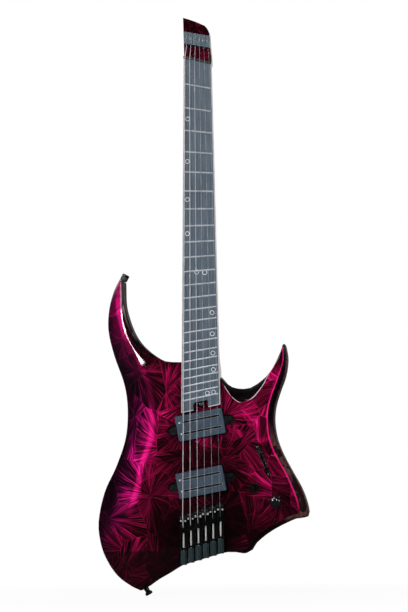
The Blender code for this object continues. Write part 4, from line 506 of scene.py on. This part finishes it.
def make_materials():
    """Every finish by its short name."""
    return {
        "crystal": crystal_lacquer("crystal_lacquer", True),
        "head": crystal_lacquer("head_lacquer", False),
        "wall": dark_wall("dark_wall", True),
        "horn_wall": dark_wall("horn_wall", False, (0.006, 0.0006, 0.0012),
                               (0.060, 0.004, 0.014)),
        "wine": streaked("dark_wine_lacquer", (0.010, 0.0006, 0.002), (0.040, 0.003, 0.009), 0.30,
                         (40, 40, 5), coat=0.6, coat_roughness=0.06),
        "board": streaked("slate_board", (0.030, 0.046, 0.064), (0.080, 0.108, 0.138), 0.50,
                          (70, 70, 3), bump=0.00006, specular=0.3),
        "fret": grained("fret_wire", (0.27, 0.29, 0.31), (0.38, 0.40, 0.43), 0.30, metallic=0.1),
        "binding": grained("pale_binding", (0.34, 0.33, 0.34), (0.47, 0.45, 0.46), 0.40),
        "slate": streaked("slate_metal", (0.022, 0.034, 0.044), (0.074, 0.100, 0.120), 0.34,
                          (30, 30, 260), metallic=0.6),
        "knob": streaked("slate_knob", (0.018, 0.029, 0.033), (0.062, 0.088, 0.096), 0.22,
                         (200, 200, 12), metallic=0.6),
        "cover": streaked("slate_cover", (0.014, 0.028, 0.045), (0.045, 0.068, 0.096), 0.42,
                          (90, 90, 12), bump=0.00003, specular=0.3),
        "blade": grained("black_blade", (0.004, 0.004, 0.005), (0.010, 0.011, 0.014), 0.30,
                         metallic=0.5),
        "black": grained("black_metal", (0.001, 0.0015, 0.0015), (0.004, 0.005, 0.005), 0.17,
                         bump=0.00003, specular=0.35),
        "speckled": grained("speckled_black", (0.002, 0.002, 0.003), (0.008, 0.009, 0.010), 0.16,
                            scale=420.0, bump=0.0006),
        "gloss": grained("black_gloss", (0.002, 0.003, 0.004), (0.005, 0.007, 0.009), 0.14,
                         coat=1.0, bump=0.0, specular=0.2),
        "rubber": grained("grey_rubber", (0.016, 0.022, 0.022), (0.036, 0.046, 0.045), 0.55),
        "plastic": grained("black_plastic", (0.006, 0.006, 0.007), (0.014, 0.014, 0.015), 0.38),
        "steel": grained("bright_steel", (0.70, 0.69, 0.67), (0.84, 0.83, 0.81), 0.22,
                         metallic=0.35),
        "rod": streaked("bright_rod", (0.42, 0.38, 0.36), (0.80, 0.76, 0.73), 0.25,
                        (1, 1, 300), metallic=0.35, bump=0.00008),
        "string": grained("plain_string", (0.33, 0.31, 0.32), (0.45, 0.43, 0.44), 0.28,
                          metallic=0.35),
        "wound": streaked("wound_string", (0.38, 0.36, 0.37), (0.64, 0.60, 0.61), 0.30,
                          (1, 1, 700), metallic=0.30, bump=0.00004),
        "socket": grained("dark_socket", (0.002, 0.002, 0.002), (0.005, 0.005, 0.005), 0.5),
        "inlay": grained("pale_inlay", (0.42, 0.46, 0.50), (0.62, 0.66, 0.70), 0.30),
        # Pale slate for the blade slots' frames, a painted highlight.
        "edge_highlight": grained("slate_edge_highlight", (0.16, 0.19, 0.23), (0.30, 0.34, 0.38), 0.30, metallic=0.5),
        "screw": grained("screw_steel", (0.10, 0.115, 0.125), (0.24, 0.26, 0.28), 0.25,
                         metallic=0.4),
        "dark_steel": grained("dark_steel", (0.03, 0.035, 0.04), (0.10, 0.11, 0.12), 0.22,
                              metallic=0.9),
        "copper": grained("warm_steel", (0.45, 0.46, 0.44), (0.60, 0.60, 0.57), 0.3, metallic=1.0),
    }


# CAD nodes

def corner_normals(mesh, crease, keep_flat):
    """Corner normals averaged over the faces that meet there within the crease angle.

    With keep_flat, faces that look straight to the front keep their own normal.
    """
    loops = len(mesh.loops)
    vertex = np.empty(loops, np.int32)
    mesh.loops.foreach_get("vertex_index", vertex)
    points = np.empty(len(mesh.vertices) * 3, np.float32)
    mesh.vertices.foreach_get("co", points)
    points = points.reshape(-1, 3).astype(float)
    corners = points[vertex].reshape(-1, 3, 3)
    before = corners[:, [2, 0, 1]] - corners
    after = corners[:, [1, 2, 0]] - corners
    face = np.cross(after[:, 0], before[:, 0])
    area = np.linalg.norm(face, axis=1)
    face /= np.maximum(area, 1e-18)[:, None]
    size = np.linalg.norm(before, axis=2) * np.linalg.norm(after, axis=2)
    cosine = (before * after).sum(2) / np.maximum(size, 1e-18)
    weight = (np.arccos(np.clip(cosine, -1, 1)) * area[:, None]).reshape(-1)
    owner = np.repeat(np.arange(len(corners)), 3)
    keys = np.round(points[vertex] * 1e6).astype(np.int64)
    _, group = np.unique(keys, axis=0, return_inverse=True)
    group = group.reshape(-1)
    order = np.argsort(group, kind="stable")
    starts = np.flatnonzero(np.r_[True, np.diff(group[order]) > 0])
    result = face[owner].copy()
    limit = math.cos(crease)
    for members in np.split(order, starts[1:]):
        normals = face[owner[members]]
        near = (normals @ normals.T) > limit
        total = near @ (normals * weight[members][:, None])
        length = np.linalg.norm(total, axis=1)
        good = length > 1e-18
        result[members[good]] = total[good] / length[good, None]
    if keep_flat:
        flat = (face[:, 1] < -0.9999)[owner]
        result[flat] = (0, -1, 0)
    return result


def soften(item, crease_degrees, keep_flat=False):
    """Rounded shading on a CAD mesh without touching its points."""
    mesh = item.data
    mesh.polygons.foreach_set("use_smooth", np.ones(len(mesh.polygons), bool))
    normals = corner_normals(mesh, math.radians(crease_degrees), keep_flat)
    mesh.normals_split_custom_set(normals.tolist())
    mesh.update()


def dress(item, *materials):
    """Replace an object's material slots."""
    item.data.materials.clear()
    for material in materials:
        item.data.materials.append(material)


def paint_where(item, slot, test):
    """Give the faces that pass the test another material slot."""
    for face in item.data.polygons:
        if test(face.center, face.normal):
            face.material_index = slot


def is_wall(centre, normal):
    """Steep sides, and the hollowed bevels of the treble side, which take the near-black side
    finish as painted shade.
    """
    steep = (-0.50 if centre.x > -0.03 else -0.20) < normal.y < 0.50
    treble = centre.x > 0.03 and (centre.z > 0.09 or normal.x > 0.10)
    return steep or (treble and -0.90 < normal.y < 0.0)


def board_surface(x):
    """World Y of the board's crowned face."""
    return BODY_TOP_Y - BOARD_TOP_HEIGHT + x * x / (2 * BOARD_RADIUS)


def dress_nodes(nodes, stuff):
    """Finish of every CAD node, with its bare screws, rods and frets picked out."""
    six = range(1, 7)
    plain = {"nut": "plastic", "truss_rod": "black", "truss_wheel": "copper",
             "headpiece_base": "slate", "binding_bass": "binding", "binding_treble": "binding",
             "neck_pickup": "cover", "bridge_pickup": "cover", "neck_pickup_rails": "blade",
             "bridge_pickup_rails": "blade", "volume_pot": "steel", "volume_knob": "gloss",
             "toggle_lever": "dark_steel", "selector_bezel": "speckled",
             "selector_switch": "plastic", "selector_lever": "black", "output_jack": "black",
             "control_cover": "plastic", "strap_button_horn": "black",
             "strap_button_tail": "black"}
    for i in six:
        plain[f"string_{i}"] = "wound" if i <= 3 else "string"
        plain[f"bridge_base_{i}"] = "black"
    for name, key in plain.items():
        dress(nodes[name], stuff[key])
    for i in six:
        clamp = nodes[f"string_clamp_{i}"]
        dress(clamp, stuff["slate"])
        saddle = nodes[f"bridge_saddle_{i}"]
        dress(saddle, stuff["black"], stuff["steel"])
        low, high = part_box(saddle.name)
        screw_z = high.z - SADDLE_SCREW_DROP
        middle = (low.x + high.x) / 2
        paint_where(saddle, 1,
                    lambda c, n: (abs(c.z - screw_z) < 0.0014
                                  and abs(abs(c.x - middle) - SADDLE_SCREW_SIDE) < 0.0014
                                  and c.y < low.y + 0.0030))
        knob = nodes[f"tuner_knob_{i}"]
        dress(knob, stuff["knob"], stuff["rod"])
        low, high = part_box(knob.name)
        knob_top = low.z + KNOB_LENGTH
        paint_where(knob, 1, lambda c, n: c.z > knob_top + 0.0001)
        dress(nodes[f"tuner_carriage_{i}"], stuff["black"])
    switch = nodes["toggle_switch"]
    dress(switch, stuff["black"], stuff["dark_steel"])
    paint_where(switch, 1, lambda c, n: (c.y < BODY_TOP_Y - 0.0025 and -0.92 < n.y < -0.30))
    board = nodes["fretboard"]
    dress(board, stuff["board"], stuff["fret"])
    paint_where(board, 1, lambda c, n: c.y < board_surface(c.x) - 0.00008)
    dress(nodes["neck"], stuff["wine"], stuff["head"])
    paint_where(nodes["neck"], 1, lambda c, n: c.z > HEAD_LACQUER_Z and n.y < -0.7)
    dress(nodes["body"], stuff["crystal"], stuff["wall"], stuff["horn_wall"])
    # Steep sides take the near-black side finish; on the treble side's hollowed bevels it is
    # painted shade.
    paint_where(nodes["body"], 1, is_wall)
    paint_where(nodes["body"], 2, lambda c, n: (is_wall(c, n) and c.x < -0.03 and c.z > 0.15
                                                and n.x > 0))
    for name, item in nodes.items():
        soften(item, 50 if name == "body" else 38, name == "body")


# Small pieces that ride on the guitar

def new_piece(name, form, *materials):
    """Close a bmesh into an object that rides on the guitar."""
    bmesh.ops.recalc_face_normals(form, faces=form.faces[:])
    mesh = bpy.data.meshes.new(name)
    form.to_mesh(mesh)
    form.free()
    for material in materials:
        mesh.materials.append(material)
    item = bpy.data.objects.new(name, mesh)
    bpy.context.scene.collection.objects.link(item)
    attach(item, "guitar")


def stack_rings(form, rings, slots, loop=False, smooth=True):
    """Skin rings of equal count; a ring of one point closes the skin as a fan."""
    rows = [[form.verts.new(point) for point in ring] for ring in rings]
    if loop:
        rows.append(rows[0])
    for (low, high), slot in zip(zip(rows, rows[1:]), slots):
        count = max(len(low), len(high))
        for k in range(count):
            after = (k + 1) % count
            if len(high) == 1:
                corners = (low[k], low[after], high[0])
            else:
                corners = (low[k], low[after], high[after], high[k])
            face = form.faces.new(corners)
            face.material_index = slot
            face.smooth = smooth


def circle(centre, radius, height, facing, count=18, sides=0):
    """Points round a centre in the XZ plane; with sides, a polygon of that inner radius."""
    points = []
    for k in range(count):
        angle = 2 * math.pi * k / count
        reach = radius
        if sides:
            sector = 2 * math.pi / sides
            reach = radius / math.cos((angle % sector) - sector / 2)
        points.append(Vector((centre[0] + reach * math.cos(angle), centre[1] + facing * height,
                              centre[2] + reach * math.sin(angle))))
    return points


def socket_tops(name, spots, radius, height, materials, facing=-1):
    """Chamfered screw tops with a six-sided socket; the socket takes the second material."""
    form = bmesh.new()
    for spot in spots:
        middle = Vector(spot) + Vector((0, facing * height * 0.15, 0))
        rings = (circle(spot, radius, 0.0, facing), circle(spot, radius, height * 0.65, facing),
                 circle(spot, radius * 0.90, height, facing),
                 circle(spot, radius * 0.50, height, facing, sides=6),
                 circle(spot, radius * 0.46, height * 0.15, facing, sides=6), [middle])
        stack_rings(form, rings, (0, 0, 0, 1, 1), smooth=False)
    new_piece(name, form, *materials)


def dome_tops(name, spots, radius, height, material):
    """Low round heads that face the front."""
    form = bmesh.new()
    for spot in spots:
        rings = [circle(spot, radius * math.cos(turn), height * math.sin(turn), -1)
                 for turn in (0.0, 0.35, 0.75, 1.15)]
        rings.append([Vector(spot) + Vector((0, -height, 0))])
        stack_rings(form, rings, (0,) * 4)
    new_piece(name, form, material)


# Ring markers on the board: x, z and outer radius.
MARKERS = (
    (-0.0151, 0.5137, 0.0034), (-0.0161, 0.4505, 0.0034), (-0.0167, 0.3940, 0.0034),
    (-0.0171, 0.3437, 0.0034), (-0.0040, 0.2870, 0.0036), (0.0080, 0.2858, 0.0036),
    (0.0181, 0.2268, 0.0034), (0.0181, 0.1959, 0.0034), (0.0187, 0.1679, 0.0034),
    (0.0192, 0.1439, 0.0033), (0.0100, 0.1100, 0.0033), (0.0191, 0.1113, 0.0033),
)


def make_markers(stuff):
    """Thin rings let into the board, a hair proud of its crowned face."""
    form = bmesh.new()
    width = 0.0009
    proud = 0.00012
    for x, z, radius in MARKERS:
        rings = []
        for reach, lift in ((radius, -0.0001), (radius, proud), (radius - width, proud),
                            (radius - width, -0.0001)):
            ring = circle((x, 0, z), reach, 0, -1, RING_POINTS)
            rings.append([Vector((p.x, board_surface(p.x) - lift, p.z)) for p in ring])
        stack_rings(form, rings, (0,) * 4, loop=True)
    new_piece("board_markers", form, stuff["inlay"])


# Pickups: centre and tilt are those of their covers.
PICKUP_TILT = math.radians(10.2)
BLADE_SPACING = 0.0164
BLADE_REACH = 0.0283
BLADE_SHIFT = 0.0020
PIN_GAP = 0.0032


def pickup_spot(name, along, across):
    """A point on a pickup's cover, from its middle along and across its length."""
    low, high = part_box(name)
    x = (low.x + high.x) / 2 + along * math.cos(PICKUP_TILT) - across * math.sin(PICKUP_TILT)
    z = (low.z + high.z) / 2 + along * math.sin(PICKUP_TILT) + across * math.cos(PICKUP_TILT)
    return Vector((x, low.y, z))


def make_pickup_details(stuff):
    """Bright frames round the blade slots as a painted highlight on the slots' edges, and a round
    pin at each slot's bass end.
    """
    pins = []
    # Pale frames proud of the cover, a painted highlight along the slots' edges.
    frames = bmesh.new()
    for name in ("neck_pickup", "bridge_pickup"):
        for side in (-1, 1):
            middle = side * BLADE_SPACING / 2
            pins.append(pickup_spot(name, BLADE_SHIFT - BLADE_REACH - PIN_GAP, middle))
            rings = []
            for half_x, half_z, lift in ((BLADE_REACH + 0.0007, 0.0020, -0.0001),
                                         (BLADE_REACH + 0.0006, 0.0019, 0.00016),
                                         (BLADE_REACH, 0.0014, 0.00016),
                                         (BLADE_REACH, 0.0014, -0.0001)):
                corners = ((-half_x, -half_z), (half_x, -half_z), (half_x, half_z),
                           (-half_x, half_z))
                rings.append([pickup_spot(name, BLADE_SHIFT + a, middle + b)
                              + Vector((0, -lift, 0)) for a, b in corners])
            stack_rings(frames, rings, (0,) * 4, loop=True, smooth=False)
    new_piece("blade_slot_frames", frames, stuff["edge_highlight"])
    dome_tops("blade_pins", pins, 0.0011, 0.0004, stuff["steel"])
    ears = []
    for name in ("neck_pickup", "bridge_pickup"):
        for side in (-1, 1):
            spot = pickup_spot(name, side * EAR_REACH, 0.0)
            ears.append((spot.x, BODY_TOP_Y + EAR_SCREW_SINK, spot.z))
    socket_tops("ear_screw_tops", ears, 0.0016, 0.0003, (stuff["dark_steel"], stuff["socket"]))


def make_screw_tops(stuff):
    """Socket tops on the clamps' cap screws and the saddles' height screws."""
    clamps = []
    saddles = []
    for i in range(6):
        low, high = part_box(f"string_clamp_{i + 1}")
        clamps.append(((low.x + high.x) / 2, low.y + 0.0003, (low.z + high.z) / 2))
        low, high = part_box(f"bridge_saddle_{i + 1}")
        for side in (-1, 1):
            saddles.append(((low.x + high.x) / 2 + side * SADDLE_SCREW_SIDE, low.y + 0.0024,
                            high.z - SADDLE_SCREW_DROP))
    socket_tops("clamp_screw_tops", clamps, 0.0018, 0.0004, (stuff["screw"], stuff["socket"]))
    socket_tops("saddle_screw_tops", saddles, 0.0012, 0.0003, (stuff["steel"], stuff["socket"]))


# Back: neck bolts and the screws of the control cover, x and z.
NECK_BOLTS = ((-0.018, 0.1131), (0.018, 0.1131), (-0.018, 0.1431), (0.018, 0.1431))
COVER_SCREWS = ((0.063, 0.0431), (0.0907, 0.0433), (0.1285, -0.0297), (0.1283, -0.0608),
                (0.0645, -0.0974), (0.0319, -0.0971))
# A ferrule's section: radius, and y from the back's face.
FERRULE = ((0.0064, -0.0051), (0.0064, -0.0006), (0.0060, -0.0002), (0.0052, -0.0002),
           (0.0047, -0.0012), (0.0047, -0.0051))


def make_back_details(stuff):
    """Ferrules with bolt heads in the body's bores, and socket tops on the cover's screws."""
    form = bmesh.new()
    for x, z in NECK_BOLTS:
        rings = [circle((x, 0, z), radius, y, 1, RING_POINTS) for radius, y in FERRULE]
        stack_rings(form, rings, (0,) * len(rings), loop=True, smooth=False)
    new_piece("neck_ferrules", form, stuff["black"])
    bolts = [(x, -0.0038, z) for x, z in NECK_BOLTS]
    socket_tops("neck_bolt_heads", bolts, 0.0042, 0.0026, (stuff["dark_steel"], stuff["socket"]),
                facing=1)
    screws = [(x, -0.0007, z) for x, z in COVER_SCREWS]
    socket_tops("cover_screw_tops", screws, 0.0019, 0.0004, (stuff["dark_steel"],
                                                            stuff["socket"]), facing=1)


# Cushion round the waist of the horn's strap button: radius and height above its seat.
CUSHION = ((0.0041, 0.0006), (0.0047, 0.0005), (0.0052, 0.0014), (0.0055, 0.0032),
           (0.0056, 0.0052), (0.0054, 0.0068), (0.0050, 0.0073), (0.0041, 0.0073))
BUTTON_HEIGHT = 0.0110


def make_button_cushion(button, stuff):
    """Rubber ring between the strap button's cap and the horn, on the button's own axis."""
    points = np.array([corner.co[:] for corner in button.data.vertices])
    middle = points.mean(0)
    axis = np.linalg.svd(points - middle, full_matrices=False)[2][0]
    along = (points - middle) @ axis
    spread = np.linalg.norm(points - middle - np.outer(along, axis), axis=1)
    if (along * spread).sum() < 0:
        axis, along = -axis, -along
    axis = Vector(axis)
    seat = Vector(middle) + axis * (along.max() - BUTTON_HEIGHT)
    turn = axis.to_track_quat("Z", "Y")
    form = bmesh.new()
    rings = []
    for radius, height in CUSHION:
        angles = [2 * math.pi * k / RING_POINTS for k in range(RING_POINTS)]
        rings.append([seat + turn @ Vector((radius * math.cos(angle), radius * math.sin(angle),
                                            height)) for angle in angles])
    stack_rings(form, rings, (0,) * len(rings), loop=True)
    new_piece("horn_button_cushion", form, stuff["rubber"])


def make_pieces(nodes, stuff):
    """Every small piece that the solids leave to the looks."""
    make_markers(stuff)
    make_pickup_details(stuff)
    make_screw_tops(stuff)
    make_back_details(stuff)
    make_button_cushion(nodes["strap_button_horn"], stuff)


# Camera, light and floor

CAMERA_PLACE = (0.4201, -2.9947, -0.0704)
CAMERA_LENS = 120.86


def make_camera():
    """Camera at the photograph's viewing angle, from its right, upward and backward axes."""
    right = Vector((0.99008, 0.14018, -0.00984))
    up = Vector((0.02410, -0.10042, 0.99465))
    back = Vector((0.13844, -0.98502, -0.10280))
    data = bpy.data.cameras.new("camera")
    data.lens = CAMERA_LENS
    data.sensor_width = 36.0
    data.clip_start = 0.05
    data.clip_end = 30.0
    camera = bpy.data.objects.new("camera", data)
    turn = Matrix((right, up, back)).transposed().to_4x4()
    camera.matrix_world = Matrix.Translation(CAMERA_PLACE) @ turn
    bpy.context.scene.collection.objects.link(camera)
    bpy.context.scene.camera = camera


def area_light(name, place, target, width, height, power, lean=0.0, mirrored=True):
    """Softbox aimed at a target; unless it is mirrored, no reflection shows it."""
    data = bpy.data.lights.new(name, "AREA")
    data.shape = "RECTANGLE"
    data.size = width
    data.size_y = height
    data.energy = power
    lamp = bpy.data.objects.new(name, data)
    aim = (Vector(target) - Vector(place)).to_track_quat("-Z", "Y")
    lamp.rotation_euler = (aim.to_matrix() @ Matrix.Rotation(lean, 3, "Z")).to_euler()
    lamp.location = place
    lamp.visible_glossy = mirrored
    bpy.context.scene.collection.objects.link(lamp)
    return lamp


# White streak on the long horn's ridge: start x, z, end x, z, width and lamp brightness.
STREAK = (
    ((-0.1186, 0.2780), (-0.1168, 0.2320), 0.0022, 9.0),
    ((-0.1168, 0.2340), (-0.1118, 0.2030), 0.0042, 40.0),
    ((-0.1122, 0.2055), (-0.1033, 0.1825), 0.0056, 40.0),
    ((-0.1043, 0.1850), (-0.0862, 0.1555), 0.0056, 40.0),
)
STRIP_Y = -2.6


def mirrored_strip(name, start, end, width, radiance):
    """Narrow lamp whose mirror image in the flat top runs from start to end for the camera."""
    viewer = bpy.context.scene.camera.matrix_world.translation
    ends = []
    for x, z in (start, end):
        spot = Vector((x, BODY_TOP_Y, z))
        away = spot - viewer
        away.y = -away.y
        ends.append(spot + away * (STRIP_Y - BODY_TOP_Y) / away.y)
    growth = (ends[0] - ends[1]).length / math.dist(start, end)
    middle = (ends[0] + ends[1]) / 2
    target = Vector(((start[0] + end[0]) / 2, BODY_TOP_Y, (start[1] + end[1]) / 2))
    lean = math.atan2(ends[1].x - ends[0].x, ends[0].z - ends[1].z)
    wide = width * growth
    tall = (ends[0] - ends[1]).length
    area_light(name, middle, target, wide, tall, radiance * math.pi * wide * tall, lean)


def make_lights():
    """Streak on the long horn, two glints for the edges, and the soft key and fill lights."""
    middle = (0, 0, 0.1)
    for k, (start, end, width, radiance) in enumerate(STREAK):
        mirrored_strip(f"ridge_strip_{k + 1}", start, end, width, radiance)
    for k, place in enumerate(((-1.62, -1.52, 1.42), (-0.76, -1.65, 1.97))):
        lamp = area_light(f"edge_glint_{k + 1}", place, (0.1, -0.04, 0.12), 0.35, 0.35, 11)
        lamp.visible_diffuse = False
    area_light("right_strip", (0.55, -2.38, 1.09), middle, 0.20, 0.50, 11)
    area_light("left_strip", (-1.29, -2.04, 1.04), middle, 0.20, 0.50, 11)
    area_light("left_key", (-1.4, -2.3, 0.6), middle, 1.2, 1.4, 22, mirrored=False)
    area_light("left_fill", (-2.2, -1.4, 0.5), middle, 1.4, 1.8, 16, mirrored=False)
    area_light("right_fill", (2.2, -1.9, 0.4), middle, 1.4, 1.8, 14, mirrored=False)


def light_hardware():
    """Softboxes for the metal parts only, so that the lacquer stays clear of their glare."""
    hardware = bpy.data.collections.new("hardware")
    for item in bpy.data.objects:
        if item.type == "MESH" and item.name not in ("body", "neck", "floor"):
            hardware.objects.link(item)
    for lamp in (
        area_light("hardware_left", (-1.50, -2.2, 0.60), (0, 0, 0.1), 0.16, 0.60, 8),
        area_light("hardware_right", (1.90, -1.9, 0.60), (0, 0, 0.1), 0.16, 0.60, 7),
        area_light("hardware_top", (-0.45, -2.2, 1.30), (0, 0, 0.3), 0.30, 0.20, 5),
    ):
        lamp.light_linking.receiver_collection = hardware


def make_world():
    """White where the camera and reflections see the backdrop, soft grey for the light."""
    world = bpy.data.worlds.new("studio")
    bpy.context.scene.world = world
    world.use_nodes = True
    tree = world.node_tree
    tree.nodes.clear()

    def add(kind, **settings):
        node = tree.nodes.new("ShaderNode" + kind)
        for key, value in settings.items():
            setattr(node, key, value)
        return node
    paths = add("LightPath")
    direction = add("TexCoord")
    split = add("SeparateXYZ")
    tree.links.new(direction.outputs["Generated"], split.inputs[0])
    behind = add("MapRange", interpolation_type="SMOOTHSTEP")
    tree.links.new(split.outputs[1], behind.inputs["Value"])
    behind.inputs["From Min"].default_value = 0.50
    behind.inputs["From Max"].default_value = 0.98
    mirrored = add("Math", operation="MAXIMUM")
    tree.links.new(paths.outputs["Is Glossy Ray"], mirrored.inputs[0])
    tree.links.new(paths.outputs["Is Transmission Ray"], mirrored.inputs[1])
    seen = add("Math", operation="MULTIPLY")
    tree.links.new(mirrored.outputs[0], seen.inputs[0])
    tree.links.new(behind.outputs["Result"], seen.inputs[1])
    white = add("Math", operation="MAXIMUM")
    tree.links.new(paths.outputs["Is Camera Ray"], white.inputs[0])
    tree.links.new(seen.outputs[0], white.inputs[1])
    dim = add("Background")
    dim.inputs["Color"].default_value = (0.85, 0.92, 1.0, 1)
    hush = add("MapRange")
    tree.links.new(paths.outputs["Is Glossy Ray"], hush.inputs["Value"])
    hush.inputs["To Min"].default_value = 0.24
    hush.inputs["To Max"].default_value = 0.02
    tree.links.new(hush.outputs["Result"], dim.inputs["Strength"])
    bright = add("Background")
    bright.inputs["Color"].default_value = (1, 1, 1, 1)
    bright.inputs["Strength"].default_value = 1.0
    mix = add("MixShader")
    tree.links.new(white.outputs[0], mix.inputs[0])
    tree.links.new(dim.outputs[0], mix.inputs[1])
    tree.links.new(bright.outputs[0], mix.inputs[2])
    tree.links.new(mix.outputs[0], add("OutputWorld").inputs[0])


def make_floor(height):
    """Pale floor that is white for the camera and keeps the object's shadow."""
    form = bmesh.new()
    bmesh.ops.create_grid(form, x_segments=8, y_segments=8, size=5.0)
    mesh = bpy.data.meshes.new("floor")
    form.to_mesh(mesh)
    form.free()
    floor = bpy.data.objects.new("floor", mesh)
    floor.location = (0, 0, height)
    bpy.context.scene.collection.objects.link(floor)
    shader = Shader("pale_floor", Base_Color=(0.92, 0.92, 0.92), Roughness=0.7,
                    Specular_IOR_Level=0.1)
    tree = shader.tree
    paths = shader.add("LightPath").outputs
    mirrored = shader.math("MAXIMUM", paths["Is Glossy Ray"], paths["Is Transmission Ray"])
    away = shader.vector("LENGTH", shader.stretch(shader.place(), 1, 1, 0))
    plain = shader.span(away, 0.22, 0.70, 0.95, 1.0)
    seen = shader.math("MAXIMUM", shader.math("MULTIPLY", paths["Is Camera Ray"], plain),
                       mirrored)
    glow_node = shader.add("Emission", {"Color": (1, 1, 1),
                                        "Strength": shader.span(mirrored, 0, 1, 1.0, 0.04)})
    mix = shader.add("MixShader")
    shader.feed(mix.inputs[0], seen)
    tree.links.new(shader.principled.outputs[0], mix.inputs[1])
    tree.links.new(glow_node.outputs[0], mix.inputs[2])
    tree.links.new(mix.outputs[0], tree.nodes["Material Output"].inputs["Surface"])
    mesh.materials.append(shader.material)


def plain_box(bounds):
    """A box's corners as plain lists of numbers."""
    return [[float(value) for value in corner] for corner in bounds]


def main():
    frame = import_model()
    cad_box = plain_box(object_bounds())
    stuff = make_materials()
    dress_nodes(frame["nodes"], stuff)
    make_pieces(frame["nodes"], stuff)
    make_camera()
    make_lights()
    light_hardware()
    make_world()
    make_floor(cad_box[0][2] - FLOOR_GAP)
    bpy.context.scene.view_settings.view_transform = "Standard"


main()
